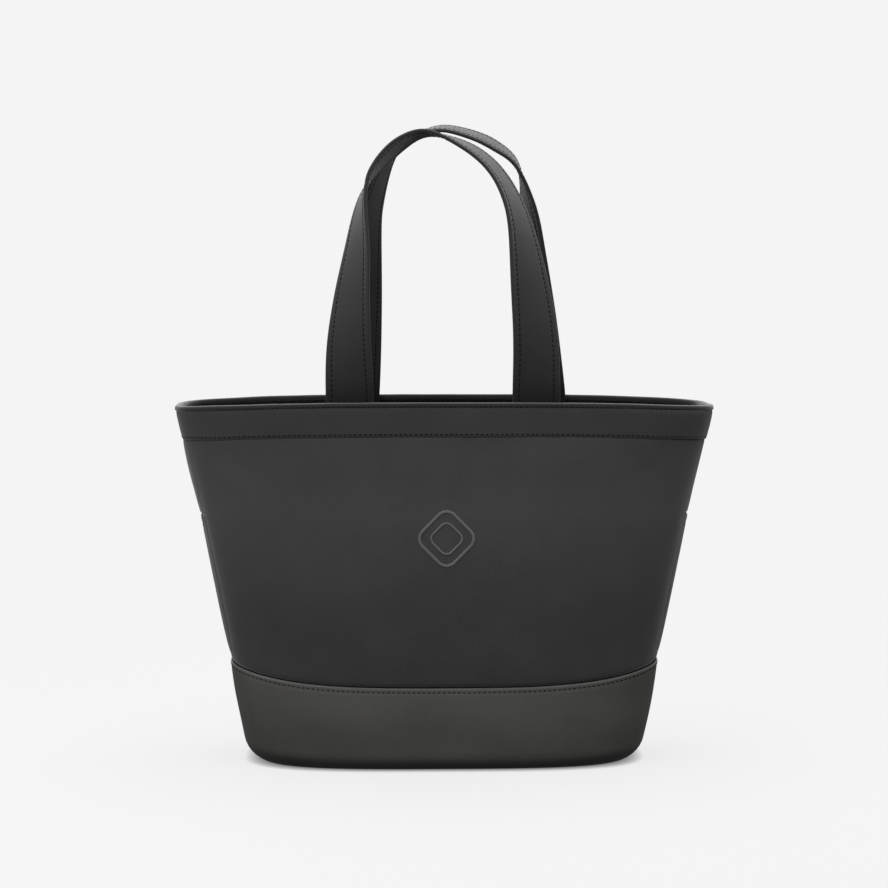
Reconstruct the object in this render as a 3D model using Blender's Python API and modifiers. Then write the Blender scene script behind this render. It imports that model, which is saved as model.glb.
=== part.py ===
"""Diaper bag: an open tote of padded cloth on a coated base, with two strap handles.

Metres, +Z up, origin at the middle of the base where it rests. The front faces -Y.
The walls are layers of one surface: outer cloth, foam, then lining, each inset from the last.
"""

import math

import bmesh
import bpy
import numpy as np
from mathutils import Euler, Matrix, Vector

NAME = "diaper_bag"

# Outer form
RIM_HEIGHT = 0.3225
RIM_DIP = 0.0045
TOP_HALF_WIDTH = 0.2417
BASE_HALF_WIDTH = 0.1765
WAIST = 0.0036
TOP_HALF_DEPTH = 0.0780
BASE_HALF_DEPTH = 0.0850
TOP_SQUARENESS = 4.5
BASE_SQUARENESS = 3.2
BASE_RADIUS = 0.010
END_RADIUS = 0.020
EDGE_SHARE = 0.5
MID_HEIGHT = 0.5 * RIM_HEIGHT

# Layers of the wall: inset of the outer face, and thickness
GAP = 0.0003
CLOTH = (0.0, 0.0012)
GUSSET = (0.0013, 0.0010)
WRAP = (-0.0008, 0.0020)
FOAM = (0.0018, 0.0021)
END_FOAM = (0.0026, 0.0016)
LINING = (0.0045, 0.0008)
POCKET = (0.0058, 0.0008)
HEM = (0.0058, 0.0012)
SIDE_POCKET = (-0.0002, 0.0012)

# Heights and seams
SEAM_HEIGHT = 0.0734
SEAM_RISE = 0.0166
BAND_HEIGHT = 0.0300
BINDING_RADIUS = 0.0028
BINDING_INSET = 0.0027
FACING_LOW = 0.2700
FOAM_LOW = 0.0130
LINING_LOW = 0.0072
STATIONS = 72
FRONT_HALF = (0.0, 0.5)
BACK_HALF = (0.5, 1.0)
GUSSET_SPAN = 3 / STATIONS
SEAM_GAP = 0.0004
SIDE_POCKET_LOW = 0.0960
SIDE_POCKET_HIGH = 0.2120
SIDE_ELASTIC = 0.0080

# Base
BOTTOM_THICKNESS = 0.0020
BOARD_LOW = 0.0024
BOARD_THICKNESS = 0.0030
FLOOR_INSET = 0.0046
FLOOR_DRAW = 0.4
LINING_LIFT = 0.35
FOAM_LIFT = 0.40
FLOOR_LOW = 0.0058
FLOOR_THICKNESS = 0.0010

# Handles
STRAP_WIDTH = 0.042
STRAP_THICKNESS = 0.0036
STRAP_OFFSET = 0.0693
TAIL_LOW = 0.2650
TAIL_TOP = 0.3216
STRAP_START = 0.3230
STRAP_TOP_OFFSET = 0.0245
STRAP_LEAN = 1.25
STRAP_STATIONS = 64

# The straps' middle lines in X and Z, seen from the side each one is on: left leg, top, right leg
FRONT_STRAP = (
    (-0.0842, STRAP_START), (-0.0850, 0.3690), (-0.0825, 0.4115), (-0.0778, 0.4545), (-0.0745, 0.4905),
    (-0.0705, 0.5085), (-0.0620, 0.5262), (-0.0390, 0.5490), (-0.0150, 0.5583), (0.0155, 0.5486),
    (0.0392, 0.5316), (0.0555, 0.5075), (0.0665, 0.4740), (0.0755, 0.4115), (0.0788, 0.3700),
    (0.0788, STRAP_START),
)
BACK_STRAP = (
    (-0.0935, STRAP_START), (-0.0895, 0.3600), (-0.0857, 0.4050), (-0.0817, 0.4500), (-0.0774, 0.4960),
    (-0.0668, 0.5328), (-0.0460, 0.5506), (-0.0205, 0.5612), (0.0050, 0.5648), (0.0318, 0.5552),
    (0.0490, 0.5384), (0.0631, 0.5010), (0.0690, 0.4700), (0.0741, 0.4100), (0.0787, STRAP_START),
)

# How far a strap has turned from facing outwards, in degrees, at shares of its length
TURN_PLACES = (
    0.0, 0.1, 0.165, 0.265, 0.31, 0.35, 0.395, 0.44, 0.48, 0.53, 0.6, 0.67, 0.72, 0.77, 0.82, 0.885, 1.0,
)
FRONT_TURNS = (
    0.0, 26.0, 43.0, 64.0, 76.0, 90.0, 106.0, 106.0, 96.0, 80.0, 74.0, 68.0, 57.0, 45.0, 33.0, 20.0, 0.0,
)
BACK_TURNS = (
    0.0, 26.0, 43.0, 64.0, 76.0, 90.0, 106.0, 104.0, 101.0, 98.0, 80.0, 68.0, 57.0, 45.0, 33.0, 20.0, 0.0,
)

# Fittings
BADGE_SIDE = 0.0420
BADGE_LINE = 0.0030
BADGE_CORNER = 0.0110
BADGE_HEIGHT = 0.2040
BADGE_THICKNESS = 0.0005
MAGNET_RADIUS = 0.0090
MAGNET_THICKNESS = 0.0030
MAGNET_HEIGHT = 0.2970
MAGNET_BOSS = 0.0010
MAGNET_RECESS = 0.0014
BOSS_SHARE = 0.45
RECESS_SHARE = 0.55
MAGNET_CHAMFER = 0.0006
RING_WIRE = 0.0015
RING_HALF_WIDTH = 0.0140
RING_DROP = 0.0200
RING_PIVOT = (0.2215, 0.2920)
RING_BORE = 0.00190
RING_STEPS = 18
TAB_SIZE = (0.0097, 0.0180, 0.0090)
TAB_OUTWARDS = 0.0016
SLIP_HALF_SPAN = 6 / STATIONS
SLIP_LOW = 0.1200
SLIP_HIGH = 0.2350
SLIP_HEM = 0.0100

# Zip pocket, on the back wall
ZIP_HEIGHT = 0.2380
ZIP_TAPE_Y = 0.0726
TAPE_SIZE = (0.1960, 0.0006, 0.0240)
CHAIN_SIZE = (0.1800, 0.0016, 0.0044)
STOP_SIZE = (0.0030, 0.0020, 0.0056)
SLIDER_SIZE = (0.0090, 0.0040, 0.0074)
SLIDER_WALL = 0.0011
SLIDER_FACE = 0.0017
SLIDER_REST = 0.0790
BAR_RADIUS = 0.00063
BAR_LENGTH = 0.0068
BAR_STAND = 0.0025
POST_SIZE = (0.0012, 0.0037, 0.0014)
POST_SINK = 0.0005
EYE_RADIUS = 0.0020
EYE_BORE = 0.0011
PULL_SIZE = (0.0042, 0.0012, 0.0240)
ZIP_POCKET_LOW = 0.1000
ZIP_POCKET_HALF_SPAN = 7 / STATIONS


def clear_scene():
    for item in list(bpy.data.objects):
        bpy.data.objects.remove(item, do_unlink=True)


def new_collection(name):
    group = bpy.data.collections.new(name)
    bpy.context.scene.collection.children.link(group)
    return group


def new_material(name, color, roughness, metallic=0.0):
    surface = bpy.data.materials.new(name)
    surface.use_nodes = True
    shader = surface.node_tree.nodes["Principled BSDF"]
    shader.inputs["Base Color"].default_value = (*color, 1.0)
    shader.inputs["Roughness"].default_value = roughness
    shader.inputs["Metallic"].default_value = metallic
    return surface


clear_scene()
PARTS = new_collection(NAME)
CUTTERS = new_collection("cutters")
BODY_CLOTH = new_material("body_cloth", (0.040, 0.038, 0.039), 0.85)
COATED_CLOTH = new_material("coated_cloth", (0.043, 0.042, 0.039), 0.55)
STRAP_CLOTH = new_material("strap_cloth", (0.036, 0.034, 0.035), 0.80)
LINING_CLOTH = new_material("lining_cloth", (0.009, 0.008, 0.008), 0.90)
FOAM_SHEET = new_material("foam_sheet", (0.20, 0.20, 0.21), 0.95)
BOARD_PLASTIC = new_material("board_plastic", (0.03, 0.03, 0.03), 0.60)
RING_METAL = new_material("ring_metal", (0.45, 0.45, 0.46), 0.30, 1.0)
ZIP_PLASTIC = new_material("zip_plastic", (0.015, 0.015, 0.015), 0.45)
EMBLEM = new_material("emblem", (0.070, 0.070, 0.070), 0.45)


# ---------------------------------------------------------------- form of the wall

def half_width(height):
    rise = height / RIM_HEIGHT
    straight = BASE_HALF_WIDTH + (TOP_HALF_WIDTH - BASE_HALF_WIDTH) * rise
    return straight - WAIST * math.sin(math.pi * rise)


def half_depth(height):
    return BASE_HALF_DEPTH + (TOP_HALF_DEPTH - BASE_HALF_DEPTH) * height / RIM_HEIGHT


def squareness(height):
    return BASE_SQUARENESS + (TOP_SQUARENESS - BASE_SQUARENESS) * height / RIM_HEIGHT


def plan_point(angle, height, inset=0.0):
    """A point of the plan in direction angle, moved inwards along the plan's normal."""
    wide, deep, power = half_width(height), half_depth(height), squareness(height)
    across, along = math.cos(angle), math.sin(angle)
    reach = (abs(across / wide) ** power + abs(along / deep) ** power) ** (-1 / power)
    x, y = reach * across, reach * along
    normal = Vector((
        math.copysign(abs(x / wide) ** (power - 1) / wide, x),
        math.copysign(abs(y / deep) ** (power - 1) / deep, y),
    )).normalized()
    return Vector((x - inset * normal.x, y - inset * normal.y, height))


def measure_around():
    """The distance round the wall at mid height, from the left end by way of the front."""
    angles = np.linspace(math.pi, 3 * math.pi, 721)
    points = np.array([plan_point(angle, MID_HEIGHT) for angle in angles])
    steps = np.linalg.norm(np.diff(points, axis=0), axis=1)
    lengths = np.concatenate(([0.0], np.cumsum(steps)))
    return lengths / lengths[-1], angles


AROUND, ANGLES = measure_around()


def wall_point(around, height, inset=0.0):
    """around runs from 0 to 1: left end, front, right end at 0.5, back."""
    return plan_point(float(np.interp(around % 1.0, AROUND, ANGLES)), height, inset)


def endness(around):
    """0 in the middle of the front or back, 1 at the ends."""
    return abs(wall_point(around, MID_HEIGHT).x) / half_width(MID_HEIGHT)


def rim_height(around):
    return RIM_HEIGHT - RIM_DIP * endness(around) ** 4


def seam_height(around):
    return SEAM_HEIGHT + SEAM_RISE * endness(around) ** 3


def extra_radius(around):
    """How much rounder the bottom edge is at the ends than along the front and back."""
    return (END_RADIUS - BASE_RADIUS) * endness(around) ** 4


def layer_top(around):
    return rim_height(around) - 2 * BINDING_RADIUS - GAP


def band_low(around):
    return rim_height(around) - BAND_HEIGHT


# ---------------------------------------------------------------- modelling helpers

def add_mesh(name, form, surface, group=None):
    mesh = bpy.data.meshes.new(name)
    form.to_mesh(mesh)
    form.free()
    mesh.materials.append(surface)
    mesh.shade_smooth()
    mesh.set_sharp_from_angle(angle=math.radians(40))
    item = bpy.data.objects.new(name, mesh)
    (group or PARTS).objects.link(item)
    return item


def bent_sheet(name, place, across, up, thickness, surface, offset=-1.0):
    """A grid bent into shape by place(s, t), then thickened behind its outer face."""
    form = bmesh.new()
    bmesh.ops.create_grid(form, x_segments=across, y_segments=up, size=0.5)
    for corner in form.verts:
        corner.co = place(corner.co.x + 0.5, corner.co.y + 0.5)
    item = add_mesh(name, form, surface)
    shell = item.modifiers.new("thickness", "SOLIDIFY")
    shell.thickness = thickness
    shell.offset = offset
    return item


def columns(span):
    """How many stations a stretch of wall covers."""
    return round((span[1] - span[0]) * STATIONS)


def along_span(span, s):
    """A place in the span, which stops short of the seams at its ends."""
    around = span[0] + (span[1] - span[0]) * s
    return min(max(around, span[0] + SEAM_GAP), span[1] - SEAM_GAP)


def wall_sheet(name, span, low, high, layer, surface, up=6):
    """One layer of the wall between two places round the bag and two heights."""
    inset, thickness = layer

    def place(s, t):
        around = along_span(span, s)
        bottom = low(around) if callable(low) else low
        top = high(around) if callable(high) else high
        return wall_point(around, bottom + (top - bottom) * t, inset)

    return bent_sheet(name, place, columns(span), up, thickness, surface)


def oval_plate(name, height, inset, thickness, surface):
    """A flat plate in the bag's own plan, its underside at the given height; inset is a function."""
    outline = bpy.data.curves.new(name, "CURVE")
    outline.dimensions = "2D"
    outline.fill_mode = "BOTH"
    outline.extrude = thickness / 2
    loop = outline.splines.new("POLY")
    loop.points.add(STATIONS - 1)
    loop.use_cyclic_u = True
    for index, point in enumerate(loop.points):
        around = index / STATIONS
        x, y, _ = wall_point(around, 0.0, inset(around))
        point.co = (x, y, 0.0, 1.0)
    return curve_to_mesh(name, outline, surface, Matrix.Translation((0, 0, height + thickness / 2)))


def curve_to_mesh(name, curve, surface, place=None):
    """Turns a curve into one welded mesh object, standing at place."""
    curve.render_resolution_u = 0
    source = bpy.data.objects.new(name, curve)
    source.matrix_world = place or Matrix.Identity(4)
    CUTTERS.objects.link(source)
    bpy.context.view_layer.update()
    graph = bpy.context.evaluated_depsgraph_get()
    mesh = bpy.data.meshes.new_from_object(source.evaluated_get(graph))
    form = bmesh.new()
    form.from_mesh(mesh)
    form.transform(source.matrix_world)
    bmesh.ops.remove_doubles(form, verts=form.verts, dist=1e-6)
    bmesh.ops.recalc_face_normals(form, faces=form.faces)
    bpy.data.objects.remove(source, do_unlink=True)
    bpy.data.meshes.remove(mesh)
    return add_mesh(name, form, surface)


def wire_loop(name, points, radius, surface, sides=2):
    """A closed wire through the given points."""
    curve = bpy.data.curves.new(name, "CURVE")
    curve.dimensions = "3D"
    curve.bevel_depth = radius
    curve.bevel_resolution = sides
    spline = curve.splines.new("POLY")
    spline.points.add(len(points) - 1)
    spline.use_cyclic_u = True
    for point, place in zip(spline.points, points):
        point.co = (*place, 1.0)
    return curve_to_mesh(name, curve, surface)


def block(name, size, centre, surface, bevel=0.0, group=None):
    form = bmesh.new()
    bmesh.ops.create_cube(form, size=1.0)
    bmesh.ops.scale(form, vec=size, verts=form.verts)
    bmesh.ops.translate(form, vec=centre, verts=form.verts)
    item = add_mesh(name, form, surface, group)
    if bevel:
        rounding = item.modifiers.new("rounding", "BEVEL")
        rounding.width = bevel
        rounding.segments = 2
    return item


def rod(name, radius, length, centre, axis, surface, group=None, sides=20):
    """A cylinder along X, Y or Z."""
    turn = {"X": Euler((0, math.pi / 2, 0)), "Y": Euler((math.pi / 2, 0, 0)), "Z": Euler((0, 0, 0))}
    form = bmesh.new()
    bmesh.ops.create_cone(
        form, cap_ends=True, segments=sides, radius1=radius, radius2=radius, depth=length,
        matrix=Matrix.Translation(centre) @ turn[axis].to_matrix().to_4x4(),
    )
    return add_mesh(name, form, surface, group)


def as_cutter(item):
    item.hide_render = True
    item.display_type = "WIRE"
    return item


def combine(item, tools, operation):
    """Adds or cuts away the tool shapes, which stay in the cutters' collection."""
    for tool in tools:
        step = item.modifiers.new(operation.lower(), "BOOLEAN")
        step.operation = operation
        step.object = as_cutter(tool)
    return item


# ---------------------------------------------------------------- outer shell

def wrap_profile(around, rise):
    """The base wrap's outer face: round the bottom edge first, then up to the seam."""
    inset = WRAP[0]
    radius = BASE_RADIUS + extra_radius(around)
    if rise < EDGE_SHARE:
        turn = 0.5 * math.pi * (1 - rise / EDGE_SHARE)
        return wall_point(around, radius * (1 - math.sin(turn)), inset + radius * (1 - math.cos(turn)))
    climb = (rise - EDGE_SHARE) / (1 - EDGE_SHARE)
    return wall_point(around, radius + (seam_height(around) - radius) * climb, inset)


def bottom_inset(around):
    return WRAP[0] + BASE_RADIUS + extra_radius(around) + SEAM_GAP


def board_inset(around):
    return BASE_RADIUS + extra_radius(around)


def make_base():
    oval_plate("bottom_panel", 0.0, bottom_inset, BOTTOM_THICKNESS, COATED_CLOTH)
    for name, span in (("base_wrap_front", FRONT_HALF), ("base_wrap_back", BACK_HALF)):
        def place(s, t, span=span):
            return wrap_profile(along_span(span, s), t)
        bent_sheet(name, place, columns(span), 8, WRAP[1], COATED_CLOTH)
    oval_plate("base_board", BOARD_LOW, board_inset, BOARD_THICKNESS, BOARD_PLASTIC)


def above_seam(around):
    return seam_height(around) + GAP


def below_band(around):
    return band_low(around) - GAP


def wall_spans():
    """The four stretches of wall, each with its start and end round the bag."""
    return {
        "front": (GUSSET_SPAN, 0.5 - GUSSET_SPAN),
        "right": (0.5 - GUSSET_SPAN, 0.5 + GUSSET_SPAN),
        "back": (0.5 + GUSSET_SPAN, 1.0 - GUSSET_SPAN),
        "left": (1.0 - GUSSET_SPAN, 1.0 + GUSSET_SPAN),
    }


def make_shell():
    names = {"front": "front_panel", "back": "back_panel", "left": "gusset_left", "right": "gusset_right"}
    for side, span in wall_spans().items():
        layer = CLOTH if side in ("front", "back") else GUSSET
        wall_sheet(names[side], span, above_seam, below_band, layer, BODY_CLOTH)
    for name, span in (("band_front", FRONT_HALF), ("band_back", BACK_HALF)):
        wall_sheet(name, span, band_low, layer_top, CLOTH, BODY_CLOTH, 2)


def make_rim():
    points = []
    for index in range(STATIONS):
        around = index / STATIONS
        points.append(wall_point(around, rim_height(around) - BINDING_RADIUS, BINDING_INSET))
    wire_loop("rim_binding", points, BINDING_RADIUS, BODY_CLOTH)


def make_side_pockets():
    """A flat pocket on each gusset, sewn into the gusset's own seams."""
    for side in ("left", "right"):
        span = wall_spans()[side]
        wall_sheet(f"side_pocket_{side}", span, SIDE_POCKET_LOW, SIDE_POCKET_HIGH, SIDE_POCKET,
                   BODY_CLOTH, 4)
        wall_sheet(f"pocket_elastic_{side}", span, SIDE_POCKET_HIGH + GAP, SIDE_POCKET_HIGH + SIDE_ELASTIC,
                   SIDE_POCKET, BODY_CLOTH, 1)


def rounded_square(outline, side, corner, backwards):
    """Adds a square loop with round corners, standing on one corner."""
    steps = 6
    reach = side / 2 - corner
    points = []
    for quarter in range(4):
        middle = math.radians(45 + 90 * quarter)
        centre = Vector((math.cos(middle), math.sin(middle))) * reach * math.sqrt(2)
        for step in range(steps + 1):
            turn = middle + math.radians(90) * (step / steps - 0.5)
            points.append(centre + corner * Vector((math.cos(turn), math.sin(turn))))
    if backwards:
        points.reverse()
    loop = outline.splines.new("POLY")
    loop.points.add(len(points) - 1)
    loop.use_cyclic_u = True
    for point, place in zip(loop.points, points):
        point.co = (place.x, place.y, 0.0, 1.0)


def make_badge():
    outline = bpy.data.curves.new("badge", "CURVE")
    outline.dimensions = "2D"
    outline.fill_mode = "BOTH"
    outline.extrude = BADGE_THICKNESS / 2
    rounded_square(outline, BADGE_SIDE, BADGE_CORNER, False)
    rounded_square(outline, BADGE_SIDE - 2 * BADGE_LINE, BADGE_CORNER - BADGE_LINE, True)
    depth = half_depth(BADGE_HEIGHT) + GAP + BADGE_THICKNESS / 2
    slope = math.atan((TOP_HALF_DEPTH - BASE_HALF_DEPTH) / RIM_HEIGHT)
    stand = Matrix.Translation((0, -depth, BADGE_HEIGHT)) @ Matrix.Rotation(math.pi / 2 + slope, 4, "X")
    curve_to_mesh("badge", outline, EMBLEM, stand @ Matrix.Rotation(math.pi / 4, 4, "Z"))


# ---------------------------------------------------------------- padding and lining

def foam_low(around):
    return FOAM_LOW + FOAM_LIFT * extra_radius(around)


def make_foam():
    for side, span in wall_spans().items():
        layer = FOAM if side in ("front", "back") else END_FOAM
        wall_sheet(f"foam_{side}", span, foam_low, layer_top, layer, FOAM_SHEET)


def floor_inset(around):
    return FLOOR_INSET + FLOOR_DRAW * extra_radius(around)


def lining_low(around):
    return LINING_LOW + LINING_LIFT * extra_radius(around)


def make_lining():
    oval_plate("lining_floor", FLOOR_LOW, floor_inset, FLOOR_THICKNESS, LINING_CLOTH)
    for side, span in wall_spans().items():
        wall_sheet(f"lining_{side}", span, lining_low, FACING_LOW - GAP, LINING, LINING_CLOTH)
    for name, span in (("facing_front", FRONT_HALF), ("facing_back", BACK_HALF)):
        wall_sheet(name, span, FACING_LOW, layer_top, LINING, LINING_CLOTH, 2)


def make_slip_pocket():
    span = (0.25 - SLIP_HALF_SPAN, 0.25 + SLIP_HALF_SPAN)
    wall_sheet("slip_pocket", span, SLIP_LOW, SLIP_HIGH, POCKET, LINING_CLOTH, 3)
    wall_sheet("slip_pocket_hem", span, SLIP_HIGH + GAP, SLIP_HIGH + SLIP_HEM, HEM, LINING_CLOTH, 1)


def make_magnets():
    """Two turned halves of a snap: the front one has a boss, the back one a recess."""
    depth = half_depth(MAGNET_HEIGHT + MAGNET_RADIUS) - LINING[0] - LINING[1] - GAP
    halves = (("magnet_front", -1, MAGNET_BOSS, BOSS_SHARE), ("magnet_back", 1, -MAGNET_RECESS, RECESS_SHARE))
    for name, side, step, share in halves:
        form = bmesh.new()
        inner = MAGNET_THICKNESS + step
        profile = (
            (0.0, inner), (MAGNET_RADIUS * share, inner), (MAGNET_RADIUS * share, MAGNET_THICKNESS),
            (MAGNET_RADIUS - MAGNET_CHAMFER, MAGNET_THICKNESS),
            (MAGNET_RADIUS, MAGNET_THICKNESS - MAGNET_CHAMFER), (MAGNET_RADIUS, 0.0), (0.0, 0.0),
        )
        corners = [form.verts.new((x, 0.0, z)) for x, z in profile]
        for first, second in zip(corners, corners[1:]):
            form.edges.new((first, second))
        item = add_mesh(name, form, RING_METAL)
        turning = item.modifiers.new("turning", "SCREW")
        turning.steps = 24
        turning.render_steps = 24
        turning.use_merge_vertices = True
        turning.merge_threshold = 1e-5
        item.location = (0, side * depth, MAGNET_HEIGHT)
        item.rotation_euler = (side * math.pi / 2, 0, 0)


# ---------------------------------------------------------------- end rings

def make_rings():
    """A D-ring at each end hangs by its straight bar in a tab sewn to the facing."""
    pivot_x, pivot_z = RING_PIVOT
    for name, side in (("left", -1), ("right", 1)):
        centre = (side * (pivot_x + TAB_OUTWARDS), 0.0, pivot_z)
        tab = block(f"ring_tab_{name}", TAB_SIZE, centre, LINING_CLOTH)
        bore = rod(f"ring_bore_{name}", RING_BORE, 2 * TAB_SIZE[1], (side * pivot_x, 0, pivot_z), "Y",
                   LINING_CLOTH, CUTTERS)
        combine(tab, [bore], "DIFFERENCE")
        points = []
        for step in range(RING_STEPS + 1):
            turn = math.pi * step / RING_STEPS
            points.append((0.0, RING_HALF_WIDTH * math.cos(turn), -RING_DROP * math.sin(turn)))
        ring = wire_loop(f"ring_{name}", points, RING_WIRE, RING_METAL)
        ring.location = (side * pivot_x, 0.0, pivot_z)


# ---------------------------------------------------------------- zip pocket

def make_zip():
    wall_sheet("zip_pocket", (0.75 - ZIP_POCKET_HALF_SPAN, 0.75 + ZIP_POCKET_HALF_SPAN), ZIP_POCKET_LOW,
               ZIP_HEIGHT - TAPE_SIZE[2] / 2 - GAP, POCKET, LINING_CLOTH, 3)
    chain_y = ZIP_TAPE_Y - GAP - CHAIN_SIZE[1] / 2
    block("zip_tape", TAPE_SIZE, (0, ZIP_TAPE_Y + TAPE_SIZE[1] / 2, ZIP_HEIGHT), LINING_CLOTH)
    block("zip_chain", CHAIN_SIZE, (0, chain_y, ZIP_HEIGHT), ZIP_PLASTIC)
    for name, side in (("left", -1), ("right", 1)):
        place = side * (CHAIN_SIZE[0] / 2 + STOP_SIZE[0] / 2 + GAP)
        block(f"zip_stop_{name}", STOP_SIZE, (place, chain_y, ZIP_HEIGHT), RING_METAL, 0.0003)


def make_slider():
    """A channel over the chain, with a bar on its face for the pull's eye."""
    back = ZIP_TAPE_Y - GAP
    face = back - SLIDER_SIZE[1]
    bar_y = face - BAR_STAND
    middle = (SLIDER_REST, back - SLIDER_SIZE[1] / 2, ZIP_HEIGHT)
    slider = block("zip_slider", SLIDER_SIZE, middle, RING_METAL)
    hollow_size = (2 * SLIDER_SIZE[0], SLIDER_SIZE[1], SLIDER_SIZE[2] - 2 * SLIDER_WALL)
    hollow_place = (SLIDER_REST, middle[1] + SLIDER_FACE, ZIP_HEIGHT)
    hollow = block("slider_hollow", hollow_size, hollow_place, RING_METAL, group=CUTTERS)
    posts = []
    for name, side in (("left", -1), ("right", 1)):
        post_x = SLIDER_REST + side * BAR_LENGTH / 2
        post_y = face + POST_SINK - POST_SIZE[1] / 2
        posts.append(block(f"slider_post_{name}", POST_SIZE, (post_x, post_y, ZIP_HEIGHT), RING_METAL,
                           group=CUTTERS))
    bar_place = (SLIDER_REST, bar_y, ZIP_HEIGHT)
    bar = rod("slider_bar", BAR_RADIUS, BAR_LENGTH, bar_place, "X", RING_METAL, CUTTERS)
    combine(slider, [hollow], "DIFFERENCE")
    combine(slider, [*posts, bar], "UNION")
    make_pull(bar_place)


def make_pull(pivot):
    """A tongue hanging from an eye round the slider's bar."""
    eye = rod("zip_pull", EYE_RADIUS, PULL_SIZE[0], (0, 0, 0), "X", RING_METAL)
    plate_place = (0, 0, -PULL_SIZE[2] / 2 - EYE_BORE - GAP)
    plate = block("pull_plate", PULL_SIZE, plate_place, RING_METAL, group=CUTTERS)
    bore = rod("pull_bore", EYE_BORE, 2 * PULL_SIZE[0], (0, 0, 0), "X", RING_METAL, CUTTERS)
    for tool in (plate, bore):
        tool.parent = eye
    combine(eye, [plate], "UNION")
    combine(eye, [bore], "DIFFERENCE")
    eye.location = pivot


# ---------------------------------------------------------------- handles

def smooth_path(points, count):
    """Evenly spaced places on a Catmull-Rom curve through the points."""
    ends = [2 * points[0] - points[1], *points, 2 * points[-1] - points[-2]]
    dense = []
    for before, start, end, after in zip(ends, ends[1:], ends[2:], ends[3:]):
        for share in np.linspace(0, 1, 24, endpoint=False):
            dense.append(0.5 * (
                2 * start + (end - before) * share
                + (2 * before - 5 * start + 4 * end - after) * share ** 2
                + (3 * start - before - 3 * end + after) * share ** 3
            ))
    dense.append(points[-1])
    dense = np.array(dense)
    lengths = np.concatenate(([0.0], np.cumsum(np.linalg.norm(np.diff(dense, axis=0), axis=1))))
    places = np.linspace(0, lengths[-1], count)
    return np.column_stack([np.interp(places, lengths, dense[:, axis]) for axis in range(2)])


def strap_offset(heights):
    """How far in front of the middle the strap is: upright at the rim, then leaning in."""
    climb = (heights - STRAP_START) / (heights.max() - STRAP_START)
    return STRAP_OFFSET + (STRAP_TOP_OFFSET - STRAP_OFFSET) * np.clip(climb, 0, 1) ** STRAP_LEAN


def make_handle(name, outline, turn_table, heading):
    """A flat strap which leans inwards; heading 1 is the front one.

    It turns from facing out (0 degrees) at its feet to facing up (90) and past it over its top.
    """
    line = smooth_path([np.array(point) for point in outline], STRAP_STATIONS + 1)
    slopes = np.gradient(line, axis=0)
    slopes[0] = (0.0, 1.0)
    slopes[-1] = (0.0, -1.0)
    turns = np.interp(np.linspace(0, 1, len(line)), TURN_PLACES, np.radians(turn_table))
    turns = np.convolve(np.pad(turns, 2, mode="edge"), np.ones(5) / 5, mode="valid")
    offset = strap_offset(line[:, 1])

    def place(s, t):
        index = int(round(s * STRAP_STATIONS))
        x, z = line[index]
        along = Vector((slopes[index][0], 0, slopes[index][1])).normalized()
        outwards = Vector((-along.z, 0, along.x))
        facing = Vector((0, -1, 0)) * math.cos(turns[index]) + outwards * math.sin(turns[index])
        across = facing.cross(along)
        spot = Vector((x, -offset[index], z)) + across * STRAP_WIDTH * (0.5 - t)
        return Vector((heading * spot.x, heading * spot.y, spot.z))

    return bent_sheet(name, place, STRAP_STATIONS, 2, STRAP_THICKNESS, STRAP_CLOTH, offset=0.0)


def make_handles():
    """Both straps, and under each leg the tail that is sewn down inside the rim."""
    size = (STRAP_WIDTH, STRAP_THICKNESS, TAIL_TOP - TAIL_LOW)
    middle = (TAIL_TOP + TAIL_LOW) / 2
    straps = (("front", FRONT_STRAP, FRONT_TURNS, 1), ("back", BACK_STRAP, BACK_TURNS, -1))
    for end, outline, turn_table, heading in straps:
        make_handle(f"handle_{end}", outline, turn_table, heading)
        feet = sorted(heading * foot[0] for foot in (outline[0], outline[-1]))
        for side, foot in zip(("left", "right"), feet):
            block(f"handle_tail_{end}_{side}", size, (foot, -heading * STRAP_OFFSET, middle), STRAP_CLOTH)


make_base()
make_shell()
make_rim()
make_side_pockets()
make_badge()
make_foam()
make_lining()
make_slip_pocket()
make_magnets()
make_rings()
make_zip()
make_slider()
make_handles()
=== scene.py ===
"""Looks of the diaper bag: cloth panels settled by simulation, a coated base, stitched straps, lining.

The walls follow the frame's own form, a squared oval that flares upwards, and every piece is
made in the frame's metres: +Z up, the front facing -Y.
"""
import math

import bpy
import numpy as np
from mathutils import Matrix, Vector


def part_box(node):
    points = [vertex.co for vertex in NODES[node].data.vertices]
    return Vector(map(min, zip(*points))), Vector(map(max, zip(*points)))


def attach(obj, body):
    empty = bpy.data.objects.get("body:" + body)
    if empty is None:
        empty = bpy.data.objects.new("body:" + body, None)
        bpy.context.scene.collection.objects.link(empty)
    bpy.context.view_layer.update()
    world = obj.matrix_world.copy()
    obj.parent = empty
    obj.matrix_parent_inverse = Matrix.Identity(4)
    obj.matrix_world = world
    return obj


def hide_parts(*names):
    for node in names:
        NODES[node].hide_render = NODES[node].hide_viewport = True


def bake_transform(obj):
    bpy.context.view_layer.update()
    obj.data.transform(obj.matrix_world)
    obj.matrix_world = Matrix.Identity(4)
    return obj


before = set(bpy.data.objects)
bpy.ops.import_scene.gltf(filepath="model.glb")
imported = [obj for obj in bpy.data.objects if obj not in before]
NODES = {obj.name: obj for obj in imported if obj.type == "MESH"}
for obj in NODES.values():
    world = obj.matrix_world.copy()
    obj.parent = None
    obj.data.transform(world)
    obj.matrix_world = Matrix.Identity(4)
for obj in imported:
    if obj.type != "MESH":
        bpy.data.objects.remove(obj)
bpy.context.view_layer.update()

# Form of the wall, as the frame has it
RIM_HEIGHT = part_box("rim_binding")[1].z
RIM_DIP = 0.0045
TOP_HALF_WIDTH = 0.2417
BASE_HALF_WIDTH = 0.1765
WAIST = 0.0036
TOP_HALF_DEPTH = 0.0780
BASE_HALF_DEPTH = 0.0850
TOP_SQUARENESS = 4.5
BASE_SQUARENESS = 3.2
BASE_RADIUS = 0.010
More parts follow.
